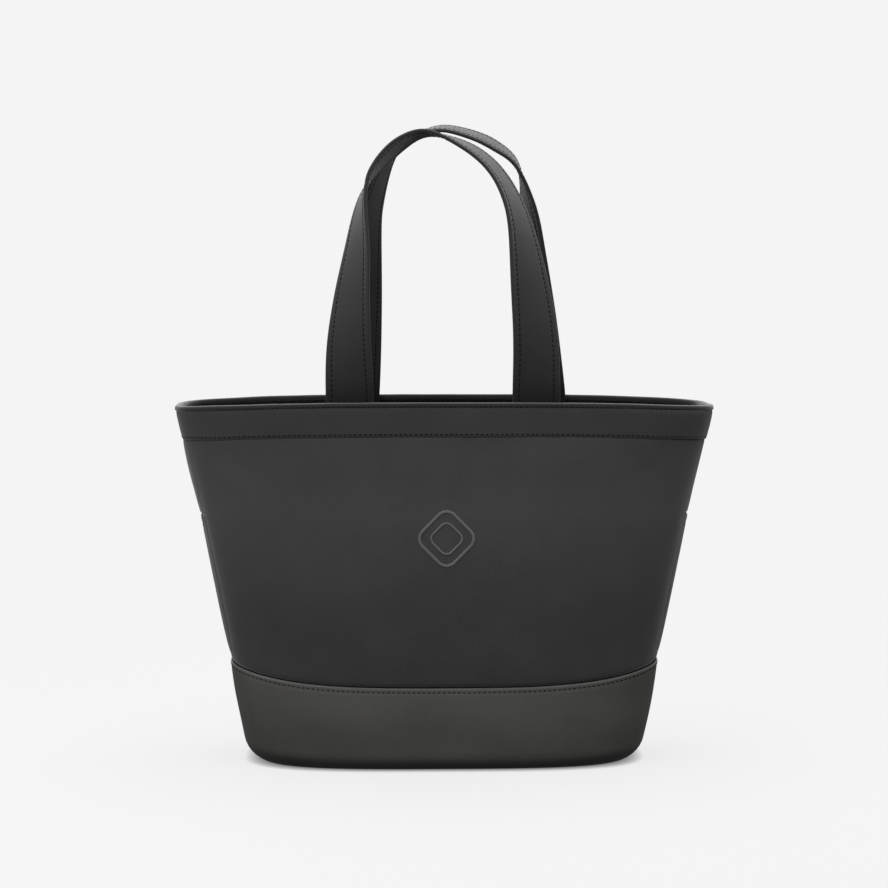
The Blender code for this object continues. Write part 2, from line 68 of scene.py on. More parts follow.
END_RADIUS = 0.020
SEAM_HEIGHT = 0.0734
SEAM_RISE = 0.0166
BAND_HEIGHT = 0.0300
BINDING_HEIGHT = 0.0046
STATIONS = 72
GUSSET = 3 / STATIONS
FACING_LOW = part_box("facing_front")[0].z
POCKET_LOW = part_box("side_pocket_left")[0].z
POCKET_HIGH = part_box("side_pocket_left")[1].z
ELASTIC_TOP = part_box("pocket_elastic_left")[1].z

CELL = 0.0030
COARSE_CELL = 0.0075

# ---------------------------------------------------------------- form of the wall


def plan(angle, height, inset=0.0):
    """Points and outward normals of the wall in the given directions and heights."""
    angle, height = np.broadcast_arrays(np.asarray(angle, float), np.asarray(height, float))
    rise = height / RIM_HEIGHT
    wide = BASE_HALF_WIDTH + (TOP_HALF_WIDTH - BASE_HALF_WIDTH) * rise - WAIST * np.sin(np.pi * rise)
    deep = BASE_HALF_DEPTH + (TOP_HALF_DEPTH - BASE_HALF_DEPTH) * rise
    power = BASE_SQUARENESS + (TOP_SQUARENESS - BASE_SQUARENESS) * rise
    across, along = np.cos(angle), np.sin(angle)
    reach = (np.abs(across / wide) ** power + np.abs(along / deep) ** power) ** (-1 / power)
    x, y = reach * across, reach * along
    nx = np.sign(x) * np.abs(x / wide) ** (power - 1) / wide
    ny = np.sign(y) * np.abs(y / deep) ** (power - 1) / deep
    size = np.hypot(nx, ny)
    nx, ny = nx / size, ny / size
    points = np.stack([x - inset * nx, y - inset * ny, height], axis=-1)
    return points, np.stack([nx, ny, np.zeros_like(nx)], axis=-1)


ANGLES = np.linspace(math.pi, 3 * math.pi, 1441)
LOOP = plan(ANGLES, RIM_HEIGHT / 2)[0]
AROUND = np.concatenate(([0.0], np.cumsum(np.linalg.norm(np.diff(LOOP, axis=0), axis=1))))
GIRTH = AROUND[-1]
AROUND = AROUND / GIRTH


def wall(around, height, inset=0.0):
    """around runs from 0 to 1: left end, front, right end at 0.5, back."""
    return plan(np.interp(np.asarray(around) % 1.0, AROUND, ANGLES), height, inset)


def endness(around):
    """0 in the middle of the front or back, 1 at the ends."""
    points, _ = wall(around, RIM_HEIGHT / 2)
    return np.abs(points[..., 0]) / np.abs(LOOP[:, 0]).max()


def rim_height(around):
    return RIM_HEIGHT - RIM_DIP * endness(around) ** 4


def seam_height(around):
    return SEAM_HEIGHT + SEAM_RISE * endness(around) ** 3


def band_low(around):
    return rim_height(around) - BAND_HEIGHT


def edge_radius(around):
    """The bottom edge's radius, larger at the ends than along the front and back."""
    return BASE_RADIUS + (END_RADIUS - BASE_RADIUS) * endness(around) ** 4


QUARTERS = (
    ("front", (GUSSET, 0.5 - GUSSET)), ("right", (0.5 - GUSSET, 0.5 + GUSSET)),
    ("back", (0.5 + GUSSET, 1.0 - GUSSET)), ("left", (1.0 - GUSSET, 1.0 + GUSSET)),
)
HALVES = (("front", (0.0, 0.5)), ("back", (0.5, 1.0)))


def smooth_noise(a, b, wavelength, seed):
    """Gentle unevenness from a few waves in fixed pseudo-random directions, about -1 to 1."""
    source = np.random.default_rng(seed)
    total = np.zeros(np.broadcast(a, b).shape)
    for _ in range(7):
        turn, phase = source.uniform(0, math.tau, 2)
        length = wavelength * source.uniform(0.6, 1.7)
        total += np.sin(math.tau * (a * math.cos(turn) + b * math.sin(turn)) / length + phase)
    return total / 3.0


# ---------------------------------------------------------------- mesh helpers


def distances(path):
    """How far along a path each of its points is."""
    return np.concatenate(([0.0], np.cumsum(np.linalg.norm(np.diff(path, axis=0), axis=1))))


def directions(path):
    """The way a closed path runs at each of its points."""
    slope = np.roll(path, -1, axis=0) - np.roll(path, 1, axis=0)
    return slope / np.linalg.norm(slope, axis=1)[:, None]


def link_item(name, data):
    item = bpy.data.objects.new(name, data)
    bpy.context.scene.collection.objects.link(item)
    return item


def mesh_object(name, points, faces, material):
    mesh = bpy.data.meshes.new(name)
    mesh.from_pydata([tuple(p) for p in points], [], faces)
    mesh.validate()
    mesh.materials.append(material)
    mesh.shade_smooth()
    return link_item(name, mesh)


def grid_faces(rows, columns, wrap=False):
    """Quads of a grid of points, row by row; wrap joins the last column to the first."""
    faces = []
    for r in range(rows - 1):
        for c in range(columns if wrap else columns - 1):
            n = (c + 1) % columns
            faces.append((r * columns + c, r * columns + n, (r + 1) * columns + n, (r + 1) * columns + c))
    return faces


def tube_faces(rows, columns):
    """A closed body from rings of points: sides, and a fan at each end."""
    faces = grid_faces(rows, columns, wrap=True)
    faces.append(tuple(reversed(range(columns))))
    faces.append(tuple(range((rows - 1) * columns, rows * columns)))
    return faces


def thicken(item, thickness, columns):
    """Gives a sheet its thickness, inwards; crisp side edges let neighbours read as one cloth."""
    for edge in item.data.edges:
        first, second = (vertex % columns for vertex in edge.vertices)
        edge.use_edge_sharp = first == second and first in (0, columns - 1)
    shell = item.modifiers.new("thickness", "SOLIDIFY")
    shell.thickness = thickness
    shell.offset = -1.0
    shell.use_quality_normals = True
    return item


def finish_piece(item, body, slot, *nodes):
    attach(item, body)
    if nodes:
        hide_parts(*nodes)
    return item


def blurred(field, times):
    """A grid of vectors, smoothed with its edges kept."""
    for _ in range(times):
        for axis in (0, 1):
            wide = np.pad(field, [(1, 1) if k == axis else (0, 0) for k in range(3)], mode="edge")
            rows = [np.take(wide, range(k, k + field.shape[axis]), axis=axis) for k in range(3)]
            field = 0.25 * rows[0] + 0.5 * rows[1] + 0.25 * rows[2]
    return field


def resized(field, rows, columns):
    """A coarse grid of vectors read at a finer grid's places."""
    old_rows, old_columns, _ = field.shape
    r = np.linspace(0, old_rows - 1, rows)
    c = np.linspace(0, old_columns - 1, columns)
    r0 = np.minimum(r.astype(int), old_rows - 2)
    c0 = np.minimum(c.astype(int), old_columns - 2)
    fr, fc = (r - r0)[:, None, None], (c - c0)[None, :, None]
    low = field[r0][:, c0] * (1 - fc) + field[r0][:, c0 + 1] * fc
    high = field[r0 + 1][:, c0] * (1 - fc) + field[r0 + 1][:, c0 + 1] * fc
    return low * (1 - fr) + high * fr


# ---------------------------------------------------------------- materials


class Nodes:
    """Short names for building a node material."""

    def __init__(self, name):
        self.material = bpy.data.materials.new(name)
        self.material.use_nodes = True
        self.tree = self.material.node_tree
        self.shader = self.tree.nodes["Principled BSDF"]

    def add(self, kind, **values):
        node = self.tree.nodes.new(kind)
        for key, value in values.items():
            setattr(node, key, value)
        return node

    def set(self, **values):
        """Shader inputs by name, with _ for a space."""
        for key, value in values.items():
            self.shader.inputs[key.replace("_", " ")].default_value = value

    def link(self, start, end):
        self.tree.links.new(start, end)

    def math(self, operation, first, second=None, third=None):
        node = self.add("ShaderNodeMath", operation=operation)
        for place, value in enumerate((first, second, third)):
            if value is None:
                continue
            if isinstance(value, (int, float)):
                node.inputs[place].default_value = value
            else:
                self.link(value, node.inputs[place])
        return node.outputs[0]

    def noise(self, scale, detail=4.0, roughness=0.55):
        node = self.add("ShaderNodeTexNoise")
        node.inputs["Scale"].default_value = scale
        node.inputs["Detail"].default_value = detail
        node.inputs["Roughness"].default_value = roughness
        self.link(self.place, node.inputs["Vector"])
        return node.outputs["Fac"]

    def coordinates(self):
        source = self.add("ShaderNodeTexCoord")
        self.place = source.outputs["Object"]
        parts = self.add("ShaderNodeSeparateXYZ")
        self.link(self.place, parts.inputs[0])
        self.across = self.math("ADD", parts.outputs[0], parts.outputs[1])
        self.up = parts.outputs[2]

    def ramp(self, factor, dark, light, low=0.0, high=1.0):
        node = self.add("ShaderNodeValToRGB")
        node.color_ramp.elements[0].position = low
        node.color_ramp.elements[1].position = high
        node.color_ramp.elements[0].color = (*dark, 1)
        node.color_ramp.elements[1].color = (*light, 1)
        self.link(factor, node.inputs[0])
        return node.outputs[0]

    def spread(self, factor, low, high):
        node = self.add("ShaderNodeMapRange")
        node.inputs["To Min"].default_value = low
        node.inputs["To Max"].default_value = high
        self.link(factor, node.inputs["Value"])
        return node.outputs[0]

    def bump(self, height, distance, strength=1.0, after=None):
        node = self.add("ShaderNodeBump")
        node.inputs["Strength"].default_value = strength
        node.inputs["Distance"].default_value = distance
        self.link(height, node.inputs["Height"])
        if after is not None:
            self.link(after, node.inputs["Normal"])
        return node.outputs[0]

    def weave(self, pitch):
        """Threads over and under, from 0 in the gaps to 1 on the crowns."""
        turns = math.tau / pitch
        warp = self.math("SINE", self.math("MULTIPLY", self.across, turns))
        weft = self.math("SINE", self.math("MULTIPLY", self.up, turns))
        return self.math("MULTIPLY_ADD", self.math("MULTIPLY", warp, weft), 0.5, 0.5)

    def twill(self, pitch):
        """A fine diagonal rib crossed by threads."""
        turns = math.tau / pitch
        slant = self.math("ADD", self.across, self.up)
        rib = self.math("SINE", self.math("MULTIPLY", slant, turns))
        thread = self.math("SINE", self.math("MULTIPLY", self.up, 2 * turns))
        both = self.math("MULTIPLY_ADD", thread, 0.35, rib)
        return self.math("MULTIPLY_ADD", both, 0.37, 0.5)

    def tinted(self, color, factor):
        """A colour multiplied by a grey factor."""
        mix = self.add("ShaderNodeMix", data_type="RGBA", blend_type="MULTIPLY")
        mix.inputs[0].default_value = 1.0
        self.link(color, mix.inputs[6])
        self.link(factor, mix.inputs[7])
        return mix.outputs[2]

    def painted_light_by_height(self, stops):
        """Painted light and shade: a grey factor read off (height, factor) stops, which darkens or lightens
        a piece's colour by height in place of real shading.
        """
        low, high = stops[0][0], stops[-1][0]
        node = self.add("ShaderNodeMapRange")
        node.inputs["From Min"].default_value = low
        node.inputs["From Max"].default_value = high
        self.link(self.up, node.inputs["Value"])
        curve = self.add("ShaderNodeValToRGB")
        elements = curve.color_ramp.elements
        while len(elements) < len(stops):
            elements.new(0.5)
        for element, (height, factor) in zip(elements, stops):
            element.position = (height - low) / (high - low)
            element.color = (factor, factor, factor, 1)
        self.link(node.outputs[0], curve.inputs[0])
        return curve.outputs[0]


def shaded(color, factor):
    return tuple(min(1.0, channel * factor) for channel in color)


def cloth_material(name, color, pitch, rib=False, roughness=0.82, sheen=0.25, specular=0.25, contrast=0.16,
                   relief=0.00016, heights=None):
    nodes = Nodes(name)
    nodes.coordinates()
    threads = nodes.twill(pitch) if rib else nodes.weave(pitch)
    fibres = nodes.noise(2600, 3.0)
    patches = nodes.noise(22, 5.0)
    mottle = nodes.math("ADD", nodes.math("MULTIPLY", patches, 0.6), nodes.math("MULTIPLY", fibres, 0.4))
    base = nodes.ramp(mottle, shaded(color, 1 - contrast), shaded(color, 1 + contrast), 0.3, 0.7)
    base = nodes.tinted(base, nodes.ramp(threads, (0.84, 0.84, 0.84), (1.0, 1.0, 1.0), 0.1, 0.6))
    # Painted light and shade: the heights stops make the colour lighter or darker by height.
    if heights:
        shade = nodes.painted_light_by_height(heights)
        base = nodes.tinted(base, shade)
    nodes.link(base, nodes.shader.inputs["Base Color"])
    nodes.link(nodes.spread(mottle, roughness - 0.06, roughness + 0.06), nodes.shader.inputs["Roughness"])
    height = nodes.math("MULTIPLY_ADD", fibres, 0.35, threads)
    nodes.link(nodes.bump(height, relief, 0.6), nodes.shader.inputs["Normal"])
    nodes.set(Specular_IOR_Level=specular, Sheen_Weight=sheen, Sheen_Roughness=0.45)
    # The same painted shade dims the specular and sheen by height, a painted reflection.
    if heights:
        for socket, amount in (("Specular IOR Level", specular), ("Sheen Weight", sheen)):
            nodes.link(nodes.math("MULTIPLY", shade, amount), nodes.shader.inputs[socket])
    return nodes.material


def coated_material(name, color, heights):
    """Smooth coated cloth: fine pebbled grain, soft scuffs and a little more gloss, with painted shade by
    height.
    """
    nodes = Nodes(name)
    nodes.coordinates()
    cells = nodes.add("ShaderNodeTexVoronoi", feature="F1")
    cells.inputs["Scale"].default_value = 1500
    nodes.link(nodes.place, cells.inputs["Vector"])
    grain = nodes.math("SUBTRACT", 1.0, cells.outputs["Distance"])
    patches = nodes.noise(18, 6.0)
    scuffs = nodes.noise(140, 3.0)
    tone = nodes.math("ADD", nodes.math("MULTIPLY", patches, 0.7), nodes.math("MULTIPLY", scuffs, 0.3))
    base = nodes.ramp(tone, shaded(color, 0.86), shaded(color, 1.14), 0.3, 0.7)
    # Painted shade: the colour darkens towards the bottom edge by height.
    nodes.link(nodes.tinted(base, nodes.painted_light_by_height(heights)), nodes.shader.inputs["Base Color"])
    nodes.link(nodes.spread(tone, 0.46, 0.57), nodes.shader.inputs["Roughness"])
    soft = nodes.bump(scuffs, 0.0004, 0.15)
    nodes.link(nodes.bump(grain, 0.00012, 0.5, after=soft), nodes.shader.inputs["Normal"])
    nodes.set(Specular_IOR_Level=0.5)
    return nodes.material


def plain_material(name, color, roughness, metallic=0.0, grain=900, relief=0.00005, specular=0.5):
    """Moulded plastic, metal or thread: faint tone and roughness changes with a fine grain."""
    nodes = Nodes(name)
    nodes.coordinates()
    tone = nodes.noise(60, 4.0)
    nodes.link(nodes.ramp(tone, shaded(color, 0.9), shaded(color, 1.1), 0.3, 0.7),
               nodes.shader.inputs["Base Color"])
    nodes.link(nodes.spread(tone, roughness - 0.05, roughness + 0.05), nodes.shader.inputs["Roughness"])
    nodes.link(nodes.bump(nodes.noise(grain, 2.0), relief, 0.5), nodes.shader.inputs["Normal"])
    nodes.set(Metallic=metallic, Specular_IOR_Level=specular)
    return nodes.material


# Painted light and shade: the body cloth is lighter across the upper panel, as if lit from above, and darker
# low on the panel and up in the band.
BODY = cloth_material("body_cloth", (0.0330, 0.0308, 0.0319), 0.00085, rib=True, heights=(
    (0.07, 0.90), (0.14, 0.92), (0.225, 1.25), (0.275, 1.12), (0.294, 0.98), (0.32, 0.90)))
# Painted shade: the coated base darkens towards its bottom edge, where it faces the floor.
COATED = coated_material("coated_cloth", (0.0400, 0.0389, 0.0365),
                         heights=((0.0, 0.20), (0.009, 0.42), (0.016, 0.86), (0.05, 1.0)))
# Painted shadow: the straps darken low down, where they go into the bag below the rim, and lighten a little
# at the crest.
STRAP = cloth_material("strap_cloth", (0.0215, 0.0203, 0.0209), 0.00090, sheen=0.3,
                       heights=((0.318, 0.32), (0.345, 0.66), (0.400, 0.96), (0.57, 1.05)))
BINDING = cloth_material("binding_cloth", (0.0130, 0.0122, 0.0126), 0.00080, sheen=0.5)
LINING = cloth_material("lining_cloth", (0.0060, 0.0057, 0.0058), 0.00060, sheen=0.0, specular=0.03)
THREAD = plain_material("thread", (0.0035, 0.0033, 0.0034), 0.85, grain=4000, specular=0.08)
EMBLEM = plain_material("emblem", (0.085, 0.084, 0.084), 0.42)
METAL = plain_material("gunmetal", (0.42, 0.42, 0.43), 0.28, metallic=1.0, grain=1500, relief=0.00001)
ZIP_PLASTIC = plain_material("zip_plastic", (0.018, 0.018, 0.018), 0.45)
BOARD = plain_material("board_plastic", (0.03, 0.03, 0.03), 0.60)
ELASTIC = cloth_material("elastic_hem", (0.0240, 0.0228, 0.0234), 0.0016)
TAPE = cloth_material("zip_tape", (0.0120, 0.0112, 0.0115), 0.00110, rib=True)


# ---------------------------------------------------------------- cloth simulation


SETTLE_FRAMES = 20
SETTLE_SLACK = 0.0012
SETTLE_PRESSURE = 6.0
SETTLE_MOST = 0.0022


def settle(span, low, high, inset, slack, pressure, most):
    """How a stretch of wall cloth moves when padding presses it out between its sewn edges.

    The stretch is simulated as a sheet pinned along its seams, then read back as a grid of moves.
    """
    columns = max(8, round((span[1] - span[0]) * GIRTH / COARSE_CELL)) + 1
    rows = max(8, round(float(np.mean(high(np.array(span)) - low(np.array(span)))) / COARSE_CELL)) + 1
    start, _ = sheet_points(span, low, high, inset, rows, columns)
    item = mesh_object("settling", start.reshape(-1, 3), grid_faces(rows, columns), BODY)
    pins = item.vertex_groups.new(name="pins")
    for r in range(rows):
        for c in range(columns):
            edge = min(r, rows - 1 - r, c, columns - 1 - c)
            if edge == 0:
                pins.add([r * columns + c], 1.0, "REPLACE")
    cloth = item.modifiers.new("cloth", "CLOTH")
    settings = cloth.settings
    settings.quality = 6
    settings.mass = 0.12
    settings.tension_stiffness = 30
    settings.compression_stiffness = 30
    settings.shear_stiffness = 12
    settings.bending_stiffness = 1.5
    settings.vertex_group_mass = "pins"
    settings.shrink_min = -slack
    settings.use_pressure = True
    settings.uniform_pressure_force = pressure
    settings.effector_weights.gravity = 0.0
    cloth.point_cache.frame_start = 1
    cloth.point_cache.frame_end = SETTLE_FRAMES
    scene = bpy.context.scene
    for step in range(1, SETTLE_FRAMES + 1):
        scene.frame_set(step)
    graph = bpy.context.evaluated_depsgraph_get()
    settled = item.evaluated_get(graph).data
    end = np.array([v.co for v in settled.vertices]).reshape(rows, columns, 3)
    scene.frame_set(1)
    bpy.data.objects.remove(item, do_unlink=True)
    move = end - start
    size = np.linalg.norm(move, axis=-1, keepdims=True)
    return move * np.minimum(1.0, most / np.maximum(size, 1e-9))


# ---------------------------------------------------------------- cloth skins


def sheet_places(span, low, high, rows, columns):
    """Places round the bag and heights of a stretch of wall, as grids."""
    s = np.linspace(0, 1, columns)
    t = np.linspace(0, 1, rows)
    around = span[0] + (span[1] - span[0]) * s
    bottom, top = low(around), high(around)
    height = bottom[None, :] + (top - bottom)[None, :] * t[:, None]
    return np.broadcast_to(around, height.shape), height


def sheet_points(span, low, high, inset, rows, columns):
    around, height = sheet_places(span, low, high, rows, columns)
    return wall(around, height, inset)


def edge_distance(around, height, span, low, high):
    """Distances from each place to the stretch's bottom, top and nearer side edge, in metres."""
    side = np.minimum(around - span[0], span[1] - around) * GIRTH
    return height - low(around), high(around) - height, side


def skin(name, span, low, high, inset, thickness, material, relief, moves=None, cell=CELL):
    """A cloth skin on a stretch of wall; relief gives how far it stands out at each place."""
    columns = round((span[1] - span[0]) * GIRTH / cell) + 1
    rows = max(4, round(float(np.max(high(np.array(span)) - low(np.array(span)))) / cell)) + 1
    around, height = sheet_places(span, low, high, rows, columns)
    points, normals = wall(around, height, inset)
    if moves is not None:
        points = points + blurred(resized(moves, rows, columns), 4)
    points = points + normals * relief(around, height)[..., None]
    item = mesh_object(name, points.reshape(-1, 3), grid_faces(rows, columns), material)
    return thicken(item, thickness, columns)


def flat(height):
    return lambda around: np.full(np.shape(around), height, float)


# ---------------------------------------------------------------- stitching

STITCH_LENGTH = 0.0026
STITCH_PITCH = 0.0044
STITCH_RADIUS = 0.00040


def stitch_rows(name, runs, material=THREAD, sink=0.00012):
    """Rows of separate stitches, each a small rounded thread; a run is a path and which way is out."""
    sides, rings = 6, 5
    turns = np.linspace(0, math.tau, sides, endpoint=False)
    along = np.linspace(-1, 1, rings)
    swell = np.sqrt(np.clip(1 - along ** 2, 0, 1)) * 0.75 + 0.25
    points, faces = [], []
    for path, facing in runs:
        lengths = distances(path)
        count = max(1, int(lengths[-1] // STITCH_PITCH))
        for start in (np.arange(count) + 0.5) * lengths[-1] / count:
            places = start + along * STITCH_LENGTH / 2
            spine = np.column_stack([np.interp(places, lengths, path[:, k]) for k in range(3)])
            up = np.array([np.interp(start, lengths, facing[:, k]) for k in range(3)])
            forward = spine[-1] - spine[0]
            forward = forward / np.linalg.norm(forward)
            side = np.cross(up, forward)
            side = side / np.linalg.norm(side)
            up = np.cross(forward, side)
            spine = spine - up * (sink + STITCH_RADIUS * 0.9 * (along ** 2)[:, None])
            first = len(points)
            for spot, fat in zip(spine, swell):
                for turn in turns:
                    wide, high = 1.25 * math.cos(turn), math.sin(turn)
                    points.append(spot + STITCH_RADIUS * fat * (wide * side + high * up))
            faces += [tuple(first + k for k in face) for face in tube_faces(rings, sides)]
    return mesh_object(name, points, faces, material)


def wall_stitches(name, height, stand, body="bag", slot="body_cloth", span=(0.0, 1.0), inwards=False):
    """A stitch row round the wall at a height given for each place."""
    around = np.linspace(*span, 900)
    points, normals = wall(around, height(around), -stand)
    item = stitch_rows(name, [(points, -normals if inwards else normals)])
    return finish_piece(item, body, slot)


def straight_run(start, end, facing, count=12):
    """A straight stitch path and its facing."""
    share = np.linspace(0, 1, count)[:, None]
    start, end = np.array(start, float), np.array(end, float)
    return start + (end - start) * share, np.tile(np.array(facing, float), (count, 1))


# ---------------------------------------------------------------- swept pieces


def smooth_path(points, count):
    """Evenly spaced places on a Catmull-Rom curve through the points."""
    points = [np.array(point, float) for point in points]
    ends = [2 * points[0] - points[1], *points, 2 * points[-1] - points[-2]]
    share = np.linspace(0, 1, 24, endpoint=False)[:, None]
    dense = [
        0.5 * (2 * start + (end - before) * share + (2 * before - 5 * start + 4 * end - after) * share ** 2
               + (3 * start - before - 3 * end + after) * share ** 3)
        for before, start, end, after in zip(ends, ends[1:], ends[2:], ends[3:])
    ]
    return evenly(np.vstack([*dense, points[-1][None]]), count)


def evenly(path, count):
    """The same path read at evenly spaced places."""
    lengths = distances(path)
    places = np.linspace(0, lengths[-1], count)
    return np.column_stack([np.interp(places, lengths, path[:, k]) for k in range(path.shape[1])])


def sweep(name, path, across, facing, section, material, closed=False):
    """A section (across, facing) carried along a path; its ends are closed, or joined in a loop."""
    section = np.array(section)
    rings = path[:, None] + across[:, None] * section[None, :, :1] + facing[:, None] * section[None, :, 1:]
    rows, sides = rings.shape[:2]
    if closed:
        faces = []
        for r in range(rows):
            n = (r + 1) % rows
            for c in range(sides):
                d = (c + 1) % sides
                faces.append((r * sides + c, r * sides + d, n * sides + d, n * sides + c))
    else:
        faces = tube_faces(rows, sides)
    return mesh_object(name, rings.reshape(-1, 3), outwards(rings.reshape(-1, 3), faces), material)


def outwards(points, faces):
    """The faces, turned over together if the closed body they bound is inside out."""
    volume = 0.0
    for face in faces:
        for k in range(1, len(face) - 1):
            volume += np.dot(points[face[0]], np.cross(points[face[k]], points[face[k + 1]]))
    return faces if volume > 0 else [tuple(reversed(face)) for face in faces]


def round_section(radius, sides=16):
    turns = np.linspace(0, math.tau, sides, endpoint=False)
    return [(radius * math.cos(turn), radius * math.sin(turn)) for turn in turns]


def band_section(width, thickness, radius, steps=5):
    """A flat band with round edges, as (across, facing) points."""
    reach, half = width / 2 - radius, thickness / 2
    points = []
    for side in (1, -1):
        for turn in np.linspace(-0.5 * math.pi, 0.5 * math.pi, 2 * steps + 1):
            points.append((side * (reach + radius * math.cos(turn)), side * half * math.sin(turn)))
    return points


# ---------------------------------------------------------------- outer panels

TUCK = 0.0011
PUCKER = 0.00022
PANEL_INSET = 0.0006
PANEL_TUCK_IN = 0.0012
SIDE_CALM = 0.030
GUSSET_PUFF = 0.0005
POCKET_RECESS = 0.0018
PANEL_CLOTH = 0.0012
BAND_INSET = 0.0002
BAND_CLOTH = 0.0011
BAND_STITCH_RISE = 0.0024
BAND_STITCH_STAND = 0.00025
BINDING_HALF_THICKNESS = 0.0029
BINDING_DEPTH = 0.0026
RIM_STITCH_DROP = 0.0036
RIM_STITCH_STAND = 0.0002


def above_pocket(height, reach):
    """0 behind an end pocket, 1 from a short way above its hem."""
    return np.clip((height - ELASTIC_TOP) / reach, 0, 1)


def panel_relief(span, low, high, seed, end):
    """Tucked in at the seams, slightly puckered beside the stitching, faintly uneven between."""
    def relief(around, height):
        below, above, side = edge_distance(around, height, span, low, high)
        tuck = -TUCK * (np.exp(-below / 0.0020) + 0.6 * np.exp(-above / 0.0020))
        if end:
            free = above_pocket(height, 0.012) * (1 - np.exp(-np.minimum(above, side) / 0.006))
            behind = (1 - above_pocket(height, 0.003)) * np.clip((height - POCKET_LOW) / 0.003, 0, 1)
            tuck = tuck + GUSSET_PUFF * free - POCKET_RECESS * behind
        run = around * GIRTH
        waves = smooth_noise(run, height * 0.25, 0.016, seed)
        near = np.exp(-above / 0.010) + 0.8 * np.exp(-below / 0.012) + 0.6 * np.exp(-side / 0.010)
        uneven = 0.00055 * smooth_noise(run, height, 0.13, seed + 1)
        calm = 1 - np.exp(-np.minimum(np.minimum(below, above), side) / 0.006)
        return tuck + (PUCKER * waves * near + uneven) * calm
    return relief


def panel_high(around):
    """The panels run a little way up behind the band."""
    return band_low(around) + PANEL_TUCK_IN


def calmed(moves, span):
    """The moves, fading out towards the side seams so that neighbouring panels meet in one line."""
    side = np.linspace(0, 1, moves.shape[1])
    near = np.clip(np.minimum(side, 1 - side) * (span[1] - span[0]) * GIRTH / SIDE_CALM, 0, 1)
    return moves * (near * near * (3 - 2 * near))[None, :, None]


def make_panels():
    """Body panels and end gussets, pressed out by the foam between their seams."""
    for seed, (side, span) in enumerate(QUARTERS):
        end = side in ("left", "right")
        node = f"gusset_{side}" if end else f"{side}_panel"
        moves = calmed(settle(span, seam_height, panel_high, PANEL_INSET, SETTLE_SLACK, SETTLE_PRESSURE,
                              SETTLE_MOST), span)
        if end:
            heights = np.linspace(float(seam_height(span[0])), float(panel_high(span[0])), len(moves))
            moves = moves * above_pocket(heights, 0.035)[:, None, None]
        relief = panel_relief(span, seam_height, panel_high, 10 * seed, end)
        cloth = skin(f"{node}_cloth", span, seam_height, panel_high, PANEL_INSET, PANEL_CLOTH, BODY, relief,
                     moves)
        finish_piece(cloth, "bag", "body_cloth", node, f"foam_{side}")


def binding_low(around):
    return rim_height(around) - BINDING_HEIGHT


def make_band():
    """The top band, from the dashed stitch line up into the rim's binding."""
    for seed, (side, span) in enumerate(HALVES):
        def relief(around, height, seed=seed):
            above = binding_low(around) - height
            below = height - band_low(around)
            swell = 0.0004 * np.sin(np.pi * np.clip(below / (above + below), 0, 1)) ** 0.7
            tuck = -0.0007 * np.exp(-above / 0.0012) - 0.00008 * np.exp(-below / 0.0014)
            waves = smooth_noise(around * GIRTH, height * 0.3, 0.020, 70 + seed)
            uneven = smooth_noise(around * GIRTH, height, 0.15, 80 + seed)
            return swell + tuck + 0.00012 * waves + 0.0003 * uneven
        cloth = skin(f"band_{side}_cloth", span, band_low, binding_low, BAND_INSET, BAND_CLOTH, BODY, relief,
                     cell=0.0022)
        finish_piece(cloth, "bag", "body_cloth", f"band_{side}")
    wall_stitches("band_stitches", lambda a: band_low(a) + BAND_STITCH_RISE, BAND_STITCH_STAND)


def make_binding():
    """The folded tape that binds the rim, swept round as a rounded strip with a pinched foot."""
    stations, sides = 420, 22
    around = np.arange(stations) / stations
    turns = np.linspace(0, math.tau, sides, endpoint=False)
    half_thick, half_high = BINDING_HALF_THICKNESS, BINDING_HEIGHT / 2 + 0.0002
    middle, normals = wall(around, rim_height(around) - half_high, BINDING_DEPTH)
    out = np.sign(np.cos(turns)) * np.abs(np.cos(turns)) ** 0.75 * half_thick
    up = np.sign(np.sin(turns)) * np.abs(np.sin(turns)) ** 0.75 * half_high
    out = out * (1 - 0.10 * np.clip(-up / half_high, 0, 1))
    wobble = 0.00018 * smooth_noise(around * GIRTH, 0 * around, 0.05, 5)
    points = (middle[None] + normals[None] * (out[:, None, None] + wobble[None, :, None]))
    points[..., 2] += up[:, None] + 0.6 * wobble[None, :]
    points = points.transpose(1, 0, 2)
    faces = []
    for s in range(stations):
        n = (s + 1) % stations
        for k in range(sides):
            m = (k + 1) % sides
            faces.append((s * sides + k, n * sides + k, n * sides + m, s * sides + m))
    tape = mesh_object("rim_binding_tape", points.reshape(-1, 3), faces, BINDING)
    finish_piece(tape, "bag", "body_cloth", "rim_binding")
    wall_stitches("rim_stitches", lambda a: rim_height(a) - RIM_STITCH_DROP, RIM_STITCH_STAND)


# ---------------------------------------------------------------- base

WRAP_PROUD = 0.0004
WRAP_CLOTH = 0.0018
SEAM_DROP = 0.0006
BASE_STITCH_DROP = 0.0040


